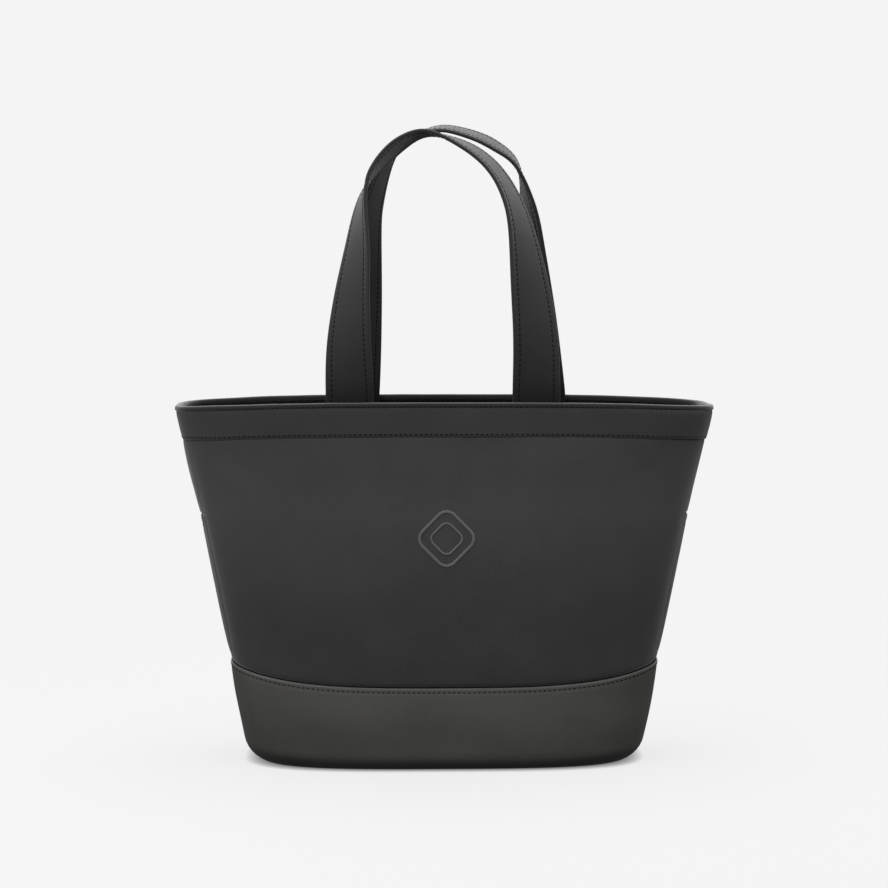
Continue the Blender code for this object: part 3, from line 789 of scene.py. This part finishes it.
def make_base():
    """The coated wrap, rounded under, its top edge folded and topstitched."""
    profile_rows, edge_rows = 34, 9
    for seed, (node, start) in enumerate((("base_wrap_front", 0.0), ("base_wrap_back", 0.5))):
        columns = round(0.5 * GIRTH / CELL) + 1
        around = start + 0.5 * np.linspace(0, 1, columns)
        seam = seam_height(around) - SEAM_DROP
        radius = edge_radius(around)
        rows = []
        for step in np.linspace(1, 0, edge_rows)[:-1]:
            turn = 0.5 * math.pi * step
            rows.append((radius * (1 - math.sin(turn)), radius * (1 - math.cos(turn)) - WRAP_PROUD))
        for step in np.linspace(0, 1, profile_rows):
            rows.append((radius + (seam - radius) * step, np.full(columns, -WRAP_PROUD)))
        heights = np.array([row[0] for row in rows])
        insets = np.array([row[1] for row in rows])
        run = np.broadcast_to(around * GIRTH, heights.shape)
        climb = np.clip((heights - radius) / (seam - radius), 0, 1)
        gap = seam - heights
        fold = 0.0003 * np.exp(-((gap - 0.0014) / 0.0014) ** 2) - 0.0006 * np.exp(-gap / 0.0005)
        stitched = -0.00035 * np.exp(-((gap - BASE_STITCH_DROP) / 0.0011) ** 2)
        swell = 0.0008 * np.sin(np.pi * climb)
        uneven = 0.0005 * smooth_noise(run, heights, 0.12, 40 + seed) * np.sin(np.pi * climb)
        points, normals = wall(np.broadcast_to(around, heights.shape), heights, insets)
        points = points + normals * (fold + stitched + swell + uneven)[..., None]
        wrap = mesh_object(f"{node}_cloth", points.reshape(-1, 3), grid_faces(len(rows), columns), COATED)
        thicken(wrap, WRAP_CLOTH, columns)
        finish_piece(wrap, "bag", "coated_cloth", node)
    wall_stitches("base_stitches",
                  lambda a: seam_height(a) - SEAM_DROP - BASE_STITCH_DROP, WRAP_PROUD + 0.0001,
                  slot="coated_cloth")


# ---------------------------------------------------------------- end pockets

GATHER_PITCH = 0.0085
POCKET_FULLNESS = 0.0025
END_POCKET_INSET = 0.0006
END_POCKET_CLOTH = 0.0012
ELASTIC_CLOTH = 0.0014
POCKET_STITCH_MARGIN = 0.006


def gathers(around, height, seed):
    """Small folds that an elastic hem draws the cloth into."""
    drift = 2 * smooth_noise(around * GIRTH, height, 0.05, seed)
    return np.sin(math.tau * around * GIRTH / GATHER_PITCH + drift)


def make_side_pockets():
    """A gathered pocket on each end, drawn in by an elastic hem at its mouth."""
    for seed, (side, middle) in enumerate((("left", 1.0), ("right", 0.5))):
        span = (middle - GUSSET, middle + GUSSET)

        def relief(around, height, span=span, seed=seed):
            below, above, edge = edge_distance(around, height, span, flat(POCKET_LOW), flat(POCKET_HIGH))
            sewn = 1 - np.exp(-np.minimum(below, edge) / 0.006)
            tuck = -0.0004 * (np.exp(-below / 0.0016) + np.exp(-edge / 0.0016))
            folds = 0.00050 * gathers(around, height, seed) * np.exp(-above / 0.022)
            share = np.clip(2 * edge / (span[1] - span[0]) / GIRTH, 0, 1)
            full = (1 - np.exp(-below / 0.02)) * (1 - np.exp(-above / 0.03)) * share * (2 - share)
            return (0.0004 + folds) * sewn + tuck + POCKET_FULLNESS * full

        pocket = skin(f"side_pocket_{side}_cloth", span, flat(POCKET_LOW), flat(POCKET_HIGH),
                      END_POCKET_INSET, END_POCKET_CLOTH, BODY, relief, cell=0.0018)
        finish_piece(pocket, "bag", "body_cloth", f"side_pocket_{side}")

        def hem_relief(around, height, span=span, seed=seed):
            middle_height = 0.5 * (POCKET_HIGH + ELASTIC_TOP)
            crown = 1 - ((height - middle_height) / (0.5 * (ELASTIC_TOP - POCKET_HIGH))) ** 2
            edge = np.minimum(around - span[0], span[1] - around) * GIRTH
            return (0.0005 * np.clip(crown, 0, 1) + 0.0003 * gathers(around, height, seed)) * (
                1 - np.exp(-edge / 0.006))

        hem = skin(f"pocket_elastic_{side}_cloth", span, flat(POCKET_HIGH), flat(ELASTIC_TOP),
                   END_POCKET_INSET, ELASTIC_CLOTH, ELASTIC, hem_relief, cell=0.0012)
        finish_piece(hem, "bag", "body_cloth", f"pocket_elastic_{side}")
        inner = (span[0] + POCKET_STITCH_MARGIN / GIRTH, span[1] - POCKET_STITCH_MARGIN / GIRTH)
        wall_stitches(f"pocket_stitches_{side}", flat(POCKET_HIGH + 0.0012), -0.0004, span=inner)


# ---------------------------------------------------------------- lining

LINING_INSET = 0.0045
LINING_CLOTH = 0.0007
FRONT_LOOSENESS = 0.0011
END_LOOSENESS = 0.0022
FACING_INSET = 0.0043
FACING_CLOTH = 0.0010


def lining_relief(span, low, high, seed, loose):
    def relief(around, height):
        below, above, side = edge_distance(around, height, span, low, high)
        calm = 1 - np.exp(-np.minimum(np.minimum(below, above), side) / 0.012)
        drapes = smooth_noise(around * GIRTH, height * 0.35, 0.035, seed)
        wide = smooth_noise(around * GIRTH, height, 0.09, seed + 1)
        return -loose * calm * (0.5 + 0.35 * drapes + 0.35 * wide)
    return relief


def make_lining():
    low = flat(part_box("lining_front")[0].z)
    high = flat(FACING_LOW)
    for seed, (side, span) in enumerate(QUARTERS):
        node = f"lining_{side}"
        loose = FRONT_LOOSENESS if side in ("front", "back") else END_LOOSENESS
        cloth = skin(f"{node}_cloth", span, low, high, LINING_INSET, LINING_CLOTH, LINING,
                     lining_relief(span, low, high, 100 + 10 * seed, loose), cell=0.0040)
        finish_piece(cloth, "bag", "lining", node)
    for seed, (side, span) in enumerate(HALVES):
        def relief(around, height, seed=seed):
            return 0.0002 * smooth_noise(around * GIRTH, height, 0.03, 150 + seed)
        cloth = skin(f"facing_{side}_cloth", span, high, binding_low, FACING_INSET, FACING_CLOTH, LINING,
                     relief, cell=0.0035)
        finish_piece(cloth, "bag", "lining", f"facing_{side}")
    wall_stitches("facing_stitches", flat(FACING_LOW + 0.0022), -0.0054, slot="lining", inwards=True)


# ---------------------------------------------------------------- inner pockets and zip

POCKET_INSET = 0.0060
POCKET_CLOTH = 0.0008
SLIP_HEM_INSET = 0.0058
SLIP_HEM_CLOTH = 0.0012
ZIP_LOW, ZIP_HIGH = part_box("zip_tape")
CHAIN_LOW, CHAIN_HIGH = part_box("zip_chain")
TOOTH_PITCH = 0.0015


def wall_pocket(name, node, seed):
    """A flat cloth pocket sewn on the lining, a little loose in the middle."""
    low, high = (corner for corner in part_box(node))
    middle = 0.25 if low.y < 0 else 0.75
    places = np.linspace(middle - 0.2, middle + 0.2, 801)
    across = np.abs(wall(places, 0.5 * (low.z + high.z), POCKET_INSET)[0][:, 0])
    half = float(places[across < high.x].max() - middle)
    span = (middle - half, middle + half)

    def relief(around, height):
        below, _, side = edge_distance(around, height, span, flat(low.z), flat(high.z))
        loose = (1 - np.exp(-np.minimum(below, side) / 0.014))
        drapes = smooth_noise(around * GIRTH, height * 0.4, 0.045, seed)
        return -0.0007 * loose * (1 + 0.5 * drapes)

    pocket = skin(name, span, flat(low.z), flat(high.z), POCKET_INSET, POCKET_CLOTH, LINING, relief,
                  cell=0.0035)
    finish_piece(pocket, "bag", "lining", node)
    edge = 0.0022
    inside = -(POCKET_INSET + POCKET_CLOTH)
    for end, place in (("left", span[0]), ("right", span[1])):
        inwards = edge / GIRTH * (1 if end == "left" else -1)
        heights = np.linspace(low.z + edge, high.z - 0.001, 60)
        points, normals = wall(np.full(60, place + inwards), heights, -inside)
        finish_piece(stitch_rows(f"{name}_stitches_{end}", [(points, -normals)]), "bag", "lining")
    wall_stitches(f"{name}_stitches_low", flat(low.z + edge), inside, slot="lining", span=span, inwards=True)
    return span


def make_slip_pocket():
    span = wall_pocket("slip_pocket_cloth", "slip_pocket", 200)
    low, high = (corner.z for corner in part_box("slip_pocket_hem"))

    def relief(around, height):
        crown = 1 - ((height - 0.5 * (low + high)) / (0.5 * (high - low))) ** 2
        return -0.0004 - 0.0004 * np.clip(crown, 0, 1)

    hem = skin("slip_pocket_hem_cloth", span, flat(low), flat(high), SLIP_HEM_INSET, SLIP_HEM_CLOTH,
               BINDING, relief, cell=0.0014)
    finish_piece(hem, "bag", "lining", "slip_pocket_hem")
    wall_stitches("slip_hem_stitches", flat(low + 0.0020), -0.0078, slot="lining", span=span, inwards=True)


def make_zip_pocket():
    """The pocket bag behind the lining wall, the woven tape, and the coil's teeth along it."""
    wall_pocket("zip_pocket_cloth", "zip_pocket", 210)
    width, height = ZIP_HIGH.x - ZIP_LOW.x, ZIP_HIGH.z - ZIP_LOW.z
    middle = 0.5 * (ZIP_HIGH + ZIP_LOW)
    count = 90
    share = np.linspace(-0.5, 0.5, count)
    path = np.column_stack([share * width, np.full(count, middle.y), np.full(count, middle.z)])
    across = np.tile((0.0, 0.0, 1.0), (count, 1))
    facing = np.tile((0.0, -1.0, 0.0), (count, 1))
    section = band_section(height, ZIP_HIGH.y - ZIP_LOW.y, 0.0003)
    tape = sweep("zip_tape_cloth", path, across, facing, section, TAPE)
    finish_piece(tape, "bag", "lining", "zip_tape")
    runs = []
    for side in (-1, 1):
        z = middle.z + side * (height / 2 - 0.0020)
        runs.append(straight_run((ZIP_LOW.x + 0.002, ZIP_LOW.y, z), (ZIP_HIGH.x - 0.002, ZIP_LOW.y, z),
                                 (0, -1, 0), 60))
    for x in (ZIP_LOW.x + 0.002, ZIP_HIGH.x - 0.002):
        runs.append(straight_run((x, ZIP_LOW.y, ZIP_LOW.z + 0.002), (x, ZIP_LOW.y, ZIP_HIGH.z - 0.002),
                                 (0, -1, 0)))
    finish_piece(stitch_rows("zip_tape_stitches", runs), "bag", "lining")
    finish_piece(make_teeth(), "bag", "zip_plastic", "zip_chain")


def make_teeth():
    """Two rows of coil loops, which mesh along the middle of the chain."""
    count = int((CHAIN_HIGH.x - CHAIN_LOW.x) / TOOTH_PITCH)
    middle = 0.5 * (CHAIN_LOW + CHAIN_HIGH)
    half_z, half_y = 0.5 * (CHAIN_HIGH.z - CHAIN_LOW.z), 0.5 * (CHAIN_HIGH.y - CHAIN_LOW.y)
    rings, sides = 7, 8
    along = np.linspace(-1, 1, rings)
    turns = np.linspace(0, math.tau, sides, endpoint=False)
    points, faces = [], []
    for index in range(2 * count):
        side = 1 if index % 2 else -1
        x = CHAIN_LOW.x + (index + 0.5) * TOOTH_PITCH / 2
        first = len(points)
        for place in along:
            fat = (1 - abs(place) ** 4) ** 0.5 * 0.8 + 0.2
            for turn in turns:
                points.append((
                    x + 0.42 * TOOTH_PITCH * fat * math.cos(turn),
                    middle.y + half_y * fat * math.sin(turn),
                    middle.z + side * 0.36 * half_z + place * 0.62 * half_z,
                ))
        faces += [tuple(first + k for k in face) for face in tube_faces(rings, sides)]
    return mesh_object("zip_teeth", points, outwards(np.array(points), faces), ZIP_PLASTIC)


# ---------------------------------------------------------------- end rings

RING_PIVOT_X = 0.2215
RING_PIVOT_Z = 0.2920
RING_HALF_WIDTH = 0.0140
RING_DROP = 0.0200
RING_WIRE = 0.0015
TAB_WIDTH = 0.0180
TAB_CLOTH = 0.0011
TAB_BEND = 0.0026
TAB_ROOT_GAP = 0.0035
TAB_MIDDLE_GAP = 0.0031


def make_rings():
    """A D-ring at each end, held in a folded loop of webbing sewn to the facing."""
    count = 96
    turns = np.linspace(0, math.pi, 40)
    bow = np.column_stack([np.cos(turns) * RING_HALF_WIDTH, -np.sin(turns) * RING_DROP])
    bar = np.column_stack([np.linspace(-1, 1, 20)[1:-1] * RING_HALF_WIDTH, np.zeros(18)])
    loop = evenly(np.vstack([bow, bar, bow[:1]]), count + 1)[:-1]
    for _ in range(3):
        loop = 0.25 * np.roll(loop, 1, axis=0) + 0.5 * loop + 0.25 * np.roll(loop, -1, axis=0)
    for name, side in (("left", -1), ("right", 1)):
        path = np.column_stack([np.full(count, side * RING_PIVOT_X), loop[:, 0], RING_PIVOT_Z + loop[:, 1]])
        slope = directions(path)
        flat_way = np.tile((1.0, 0.0, 0.0), (count, 1))
        ring = sweep(f"ring_{name}_wire", path, flat_way, np.cross(slope, flat_way),
                     round_section(RING_WIRE), METAL, closed=True)
        finish_piece(ring, f"{name}_ring", "hardware", f"ring_{name}")
        make_ring_tab(name, side)


def make_ring_tab(name, side):
    """Webbing from the facing, round the ring's bar and back."""
    root = max(abs(corner.x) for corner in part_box(f"ring_tab_{name}")) - 0.0002
    turns = np.linspace(0.5 * math.pi, 1.5 * math.pi, 24)
    bend = [(RING_PIVOT_X + TAB_BEND * math.cos(t), RING_PIVOT_Z + TAB_BEND * math.sin(t)) for t in turns]
    middle = 0.5 * (root + RING_PIVOT_X)
    outline = [(root, RING_PIVOT_Z + TAB_ROOT_GAP), (middle, RING_PIVOT_Z + TAB_MIDDLE_GAP), *bend,
               (middle, RING_PIVOT_Z - TAB_MIDDLE_GAP), (root, RING_PIVOT_Z - TAB_ROOT_GAP)]
    line = evenly(np.array(outline), 48)
    path = np.column_stack([side * line[:, 0], np.zeros(48), line[:, 1]])
    slope = np.gradient(path, axis=0)
    slope /= np.linalg.norm(slope, axis=1)[:, None]
    across = np.tile((0.0, 1.0, 0.0), (48, 1))
    section = band_section(TAB_WIDTH, TAB_CLOTH, 0.0004)
    tab = sweep(f"ring_tab_{name}_webbing", path, across, np.cross(slope, across), section, STRAP)
    finish_piece(tab, "bag", "lining", f"ring_tab_{name}")


# ---------------------------------------------------------------- handles

STRAP_WIDTH = 0.042
STRAP_THICKNESS = 0.0036
STRAP_OFFSET = 0.0693
STRAP_START = 0.3230
STRAP_TOP_OFFSET = 0.0245
STRAP_LEAN = 1.25
STRAP_ROWS = 260
TAIL_ROWS = 22
TAIL_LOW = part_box("handle_tail_front_left")[0].z
STITCH_LINE = 0.0152
GROOVE = 0.0003
TAIL_BOX = (0.004, 0.034)

FRONT_STRAP = (
    (-0.0842, STRAP_START), (-0.0850, 0.3690), (-0.0825, 0.4115), (-0.0778, 0.4545), (-0.0745, 0.4905),
    (-0.0705, 0.5085), (-0.0620, 0.5262), (-0.0390, 0.5490), (-0.0150, 0.5583), (0.0155, 0.5486),
    (0.0392, 0.5316), (0.0555, 0.5075), (0.0665, 0.4740), (0.0755, 0.4115), (0.0788, 0.3700),
    (0.0788, STRAP_START),
)
BACK_STRAP = (
    (-0.0935, STRAP_START), (-0.0895, 0.3600), (-0.0857, 0.4050), (-0.0817, 0.4500), (-0.0774, 0.4960),
    (-0.0668, 0.5328), (-0.0460, 0.5506), (-0.0205, 0.5612), (0.0050, 0.5648), (0.0318, 0.5552),
    (0.0490, 0.5384), (0.0631, 0.5010), (0.0690, 0.4700), (0.0741, 0.4100), (0.0787, STRAP_START),
)
TURN_PLACES = (
    0.0, 0.1, 0.165, 0.265, 0.31, 0.35, 0.395, 0.44, 0.48, 0.53, 0.6, 0.67, 0.72, 0.77, 0.82, 0.885, 1.0,
)
FRONT_TURNS = (
    0.0, 26.0, 43.0, 64.0, 76.0, 90.0, 106.0, 106.0, 96.0, 80.0, 74.0, 68.0, 57.0, 45.0, 33.0, 20.0, 0.0,
)
BACK_TURNS = (
    0.0, 26.0, 43.0, 64.0, 76.0, 90.0, 106.0, 104.0, 101.0, 98.0, 80.0, 68.0, 57.0, 45.0, 33.0, 20.0, 0.0,
)


def strap_route(outline, turn_table, heading):
    """The strap's middle line with its tails, and which way its width and its face point."""
    line = smooth_path(outline, STRAP_ROWS)
    slopes = np.gradient(line, axis=0)
    slopes[0], slopes[-1] = (0.0, 1.0), (0.0, -1.0)
    slopes /= np.linalg.norm(slopes, axis=1)[:, None]
    turns = np.interp(np.linspace(0, 1, STRAP_ROWS), TURN_PLACES, np.radians(turn_table))
    reach = 12
    even = np.full(2 * reach + 1, 1 / (2 * reach + 1))
    turns = np.convolve(np.pad(turns, reach, mode="edge"), even, "valid")
    climb = np.clip((line[:, 1] - STRAP_START) / (line[:, 1].max() - STRAP_START), 0, 1)
    offset = STRAP_OFFSET + (STRAP_TOP_OFFSET - STRAP_OFFSET) * climb ** STRAP_LEAN
    path = np.column_stack([line[:, 0], -offset, line[:, 1]])
    along = np.column_stack([slopes[:, 0], np.zeros(STRAP_ROWS), slopes[:, 1]])
    out = np.column_stack([-along[:, 2], np.zeros(STRAP_ROWS), along[:, 0]])
    forward = np.tile((0.0, -1.0, 0.0), (STRAP_ROWS, 1))
    facing = forward * np.cos(turns)[:, None] + out * np.sin(turns)[:, None]
    across = np.cross(facing, along)
    ends = []
    for foot, sideways in ((path[0], across[0]), (path[-1], across[-1])):
        heights = np.linspace(TAIL_LOW, STRAP_START, TAIL_ROWS, endpoint=False)
        lean = 0.0014 * np.clip((STRAP_START - heights) / 0.02, 0, 1) ** 2
        tail = np.column_stack([np.full(TAIL_ROWS, foot[0]), foot[1] - lean, heights])
        ends.append((tail, np.tile(sideways, (TAIL_ROWS, 1)), np.tile((0.0, -1.0, 0.0), (TAIL_ROWS, 1))))
    first, last = ends
    path = np.vstack([first[0], path, last[0][::-1]])
    across = np.vstack([first[1], across, last[1]])
    facing = np.vstack([first[2], facing, last[2]])
    turned = np.array((heading, heading, 1.0))
    return path * turned, across * turned, facing * turned


def strap_section():
    """Folded cloth 42 mm wide: round edges, a soft crown, and a groove under each stitch row."""
    half, edge = STRAP_WIDTH / 2, 0.0017
    coarse = np.concatenate([
        half - edge * (1 - np.cos(np.linspace(0, 0.5 * math.pi, 7))), np.linspace(0.0186, 0.0170, 3),
        STITCH_LINE + np.linspace(0.0016, -0.0016, 11), np.linspace(0.0125, 0.0, 6),
    ])
    across = np.concatenate([coarse, -coarse[:-1][::-1]])
    distance = np.abs(across)
    rim = np.sqrt(np.clip(1 - (np.clip(distance - (half - edge), 0, None) / edge) ** 2, 0, 1))
    groove = GROOVE * np.exp(-((distance - STITCH_LINE) / 0.0009) ** 2)
    crown = 0.0002 * np.cos(0.5 * math.pi * np.clip(distance / STITCH_LINE, 0, 1))
    high = (STRAP_THICKNESS / 2 - 0.0001) * rim - groove * rim + crown
    top = list(zip(across, high))
    return top + [(u, -v) for u, v in top[-2:0:-1]]


def strap_stitches(path, across, facing):
    """Two rows on each face, and a crossed box where each tail is sewn down."""
    stand = STRAP_THICKNESS / 2 - GROOVE + 0.0003
    runs = []
    for side in (-1, 1):
        for face in (-1, 1):
            runs.append((path + across * side * STITCH_LINE + facing * face * stand, facing * face))
    inside = -facing[0]
    height = STRAP_THICKNESS / 2
    for foot, wide in ((path[0], across[0]), (path[-1], across[-1])):
        low, high = (TAIL_LOW + height_up for height_up in TAIL_BOX)
        corners = [
            np.array((foot[0], foot[1], z)) + wide * u * STITCH_LINE + inside * height
            for u, z in ((-1, low), (1, low), (1, high), (-1, high))
        ]
        for start, end in ((0, 1), (2, 3), (0, 2), (1, 3)):
            runs.append(straight_run(corners[start], corners[end], inside))
    return runs


def make_handles():
    straps = (("front", FRONT_STRAP, FRONT_TURNS, 1), ("back", BACK_STRAP, BACK_TURNS, -1))
    for end, outline, turn_table, heading in straps:
        path, across, facing = strap_route(outline, turn_table, heading)
        strap = sweep(f"strap_{end}", path, across, facing, strap_section(), STRAP)
        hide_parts(f"handle_{end}", f"handle_tail_{end}_left", f"handle_tail_{end}_right")
        stitches = stitch_rows(f"strap_{end}_stitches", strap_stitches(path, across, facing), sink=0.00005)
        for item in (strap, stitches):
            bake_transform(item)


# ---------------------------------------------------------------- emblem

EMBLEM_HEIGHT = 0.2040
EMBLEM_THICKNESS = 0.0013
EMBLEM_EDGE = 0.0006
EMBLEM_LOOPS = (("outer", 0.0390, 0.0095, 0.0026), ("inner", 0.0225, 0.0060, 0.0018))


def surface_depth(item, x, z):
    """How far forward a panel's outer face is in front of each place."""
    spots = np.array([v.co for v in item.data.vertices])
    gaps = np.hypot(spots[None, :, 0] - x[:, None], spots[None, :, 2] - z[:, None])
    near = np.argsort(gaps, axis=1)[:, :4]
    weights = 1 / (np.take_along_axis(gaps, near, axis=1) + 1e-5)
    return (spots[near][..., 1] * weights).sum(axis=1) / weights.sum(axis=1)


def rounded_diamond(side, corner, count):
    """A square loop with round corners, standing on one corner."""
    reach = side / 2 - corner
    points = []
    for quarter in range(4):
        middle = math.radians(45 + 90 * quarter)
        turns = middle + np.radians(90) * np.linspace(-0.5, 0.5, 16)
        across = reach * math.sqrt(2) * math.cos(middle) + corner * np.cos(turns)
        up = reach * math.sqrt(2) * math.sin(middle) + corner * np.sin(turns)
        points += list(zip(across, up))
    loop = evenly(np.array([*points, points[0]]), count + 1)[:-1]
    turn = math.radians(45)
    return loop @ np.array(((math.cos(turn), math.sin(turn)), (-math.sin(turn), math.cos(turn))))


def make_badge(panel):
    """Nested diamonds of moulded rubber, pressed onto the front panel."""
    for name, side, corner, line in EMBLEM_LOOPS:
        count = 160
        loop = rounded_diamond(side, corner, count)
        x, z = loop[:, 0], EMBLEM_HEIGHT + loop[:, 1]
        path = np.column_stack([x, surface_depth(panel, x, z) - 0.0001, z])
        slope = directions(path)
        facing = np.tile((0.0, -1.0, 0.0), (count, 1))
        section = band_section(line, EMBLEM_THICKNESS, EMBLEM_EDGE)
        mark = sweep(f"emblem_{name}", path, np.cross(slope, facing), facing, section, EMBLEM, closed=True)
        if name == "outer":
            finish_piece(mark, "bag", "emblem", "badge")
        else:
            finish_piece(mark, "bag", "emblem")


# ---------------------------------------------------------------- carried-over pieces


def repaint(material, *nodes):
    """Gives CAD pieces that stay in view their finished material."""
    for node in nodes:
        NODES[node].data.materials.clear()
        NODES[node].data.materials.append(material)


def finish_carried():
    repaint(COATED, "bottom_panel")
    repaint(LINING, "lining_floor")
    repaint(BOARD, "base_board")
    repaint(METAL, "magnet_front", "magnet_back", "zip_stop_left", "zip_stop_right", "zip_slider",
            "zip_pull")


# ---------------------------------------------------------------- camera, lights, stage


FLOOR_REACH = 30.0
FLOOR_GLOW = 0.742
SHADOW_REACH = 0.9
CONTACT_SHADOW_REACH = 0.010
CONTACT_SHADOW_FLOOR = 0.25
BACKGROUND = 0.905
ROOM_LOW = 0.12
ROOM_HIGH = 1.0


def make_stage():
    """A pale floor that takes the bag's soft shadow, with a painted contact shadow where ambient occlusion
    dims its glow near the bag, and fades into the backdrop's own tone.
    """
    nodes = Nodes("studio_floor")
    nodes.coordinates()
    shade = nodes.ramp(nodes.noise(3, 2.0), (0.098, 0.098, 0.098), (0.102, 0.102, 0.102))
    nodes.link(shade, nodes.shader.inputs["Base Color"])
    nodes.set(Roughness=0.9, Specular_IOR_Level=0.0, Emission_Color=(1, 1, 1, 1))
    # Painted contact shadow: ambient occlusion near the bag dims the floor's glow.
    contact_shadow = nodes.add("ShaderNodeAmbientOcclusion", samples=8)
    contact_shadow.inputs["Distance"].default_value = CONTACT_SHADOW_REACH
    open_share = nodes.math("MULTIPLY_ADD", contact_shadow.outputs["AO"], 1 - CONTACT_SHADOW_FLOOR, CONTACT_SHADOW_FLOOR)
    strength = nodes.math("MULTIPLY", open_share, FLOOR_GLOW)
    nodes.link(strength, nodes.shader.inputs["Emission Strength"])
    glow = nodes.add("ShaderNodeEmission")
    glow.inputs["Strength"].default_value = BACKGROUND
    distance = nodes.add("ShaderNodeVectorMath", operation="LENGTH")
    nodes.link(nodes.place, distance.inputs[0])
    fade = nodes.add("ShaderNodeMapRange", interpolation_type="SMOOTHSTEP")
    fade.inputs["From Min"].default_value = 0.35 * SHADOW_REACH
    fade.inputs["From Max"].default_value = SHADOW_REACH
    nodes.link(distance.outputs["Value"], fade.inputs["Value"])
    mix = nodes.add("ShaderNodeMixShader")
    nodes.link(fade.outputs[0], mix.inputs[0])
    nodes.link(nodes.shader.outputs[0], mix.inputs[1])
    nodes.link(glow.outputs[0], mix.inputs[2])
    nodes.link(mix.outputs[0], nodes.tree.nodes["Material Output"].inputs[0])
    reach = FLOOR_REACH
    floor = mesh_object("studio_floor", [(-reach, -reach, 0), (reach, -reach, 0), (reach, reach, 0),
                                         (-reach, reach, 0)], [(0, 1, 2, 3)], nodes.material)
    floor.location.z = -0.0002
    floor.visible_diffuse = False
    floor.visible_glossy = False


def area_light(name, place, aim, size, radiance, color=(1, 1, 1)):
    light = bpy.data.lights.new(name, "AREA")
    light.shape = "RECTANGLE"
    light.size, light.size_y = size
    light.energy = radiance * math.pi * size[0] * size[1]
    light.color = color
    item = link_item(name, light)
    item.location = place
    item.rotation_euler = (Vector(aim) - Vector(place)).to_track_quat("-Z", "Y").to_euler()


def make_light():
    """A white room, brighter overhead than near the floor, with soft boxes above, in front and behind."""
    world = bpy.data.worlds.new("studio")
    bpy.context.scene.world = world
    world.use_nodes = True
    tree = world.node_tree
    path, seen, place, parts, rise, mix = (
        tree.nodes.new("ShaderNode" + kind)
        for kind in ("LightPath", "Background", "TexCoord", "SeparateXYZ", "MapRange", "MixShader")
    )
    seen.inputs[0].default_value = (BACKGROUND, BACKGROUND, BACKGROUND, 1)
    room = tree.nodes["Background"]
    for key, value in (("From Min", -0.15), ("From Max", 0.35), ("To Min", ROOM_LOW), ("To Max", ROOM_HIGH)):
        rise.inputs[key].default_value = value
    for start, end in (
        (place.outputs["Generated"], parts.inputs[0]), (parts.outputs["Z"], rise.inputs["Value"]),
        (rise.outputs[0], room.inputs[0]), (path.outputs["Is Camera Ray"], mix.inputs[0]),
        (room.outputs[0], mix.inputs[1]), (seen.outputs[0], mix.inputs[2]),
        (mix.outputs[0], tree.nodes["World Output"].inputs[0]),
    ):
        tree.links.new(start, end)
    area_light("overhead", (0.0, 0.25, 2.2), (0.0, 0.0, 0.2), (2.0, 1.6), 3.2)
    area_light("key", (-1.5, -1.7, 1.5), (0.0, 0.0, 0.25), (1.5, 1.3), 3.4)
    area_light("fill", (1.7, -1.9, 1.3), (0.0, 0.0, 0.25), (1.3, 1.2), 2.4)
    area_light("side", (-2.1, -0.7, 0.45), (0.0, 0.0, 0.05), (0.9, 0.9), 2.6)
    area_light("backdrop", (0.0, 2.4, 1.1), (0.0, 0.0, 0.35), (3.2, 1.6), 1.1)
    bpy.context.scene.view_settings.view_transform = "Standard"


CAMERA_DISTANCE = 2.30
CAMERA_HEIGHT = 0.440
CAMERA_SWING = math.radians(1.6)
CAMERA_PITCH = math.radians(3.95)
CAMERA_LENS = 103.7


def make_camera():
    lens = bpy.data.cameras.new("camera")
    lens.lens = CAMERA_LENS
    lens.sensor_width = 36.0
    eye = link_item("camera", lens)
    eye.location = (-CAMERA_DISTANCE * math.sin(CAMERA_SWING), -CAMERA_DISTANCE * math.cos(CAMERA_SWING),
                    CAMERA_HEIGHT)
    eye.rotation_euler = (math.pi / 2 - CAMERA_PITCH, 0, -CAMERA_SWING)
    bpy.context.scene.camera = eye


make_camera()
make_light()
make_stage()
make_panels()
make_badge(bpy.data.objects["front_panel_cloth"])
make_band()
make_binding()
make_base()
make_side_pockets()
make_lining()
make_slip_pocket()
make_zip_pocket()
make_rings()
make_handles()
finish_carried()
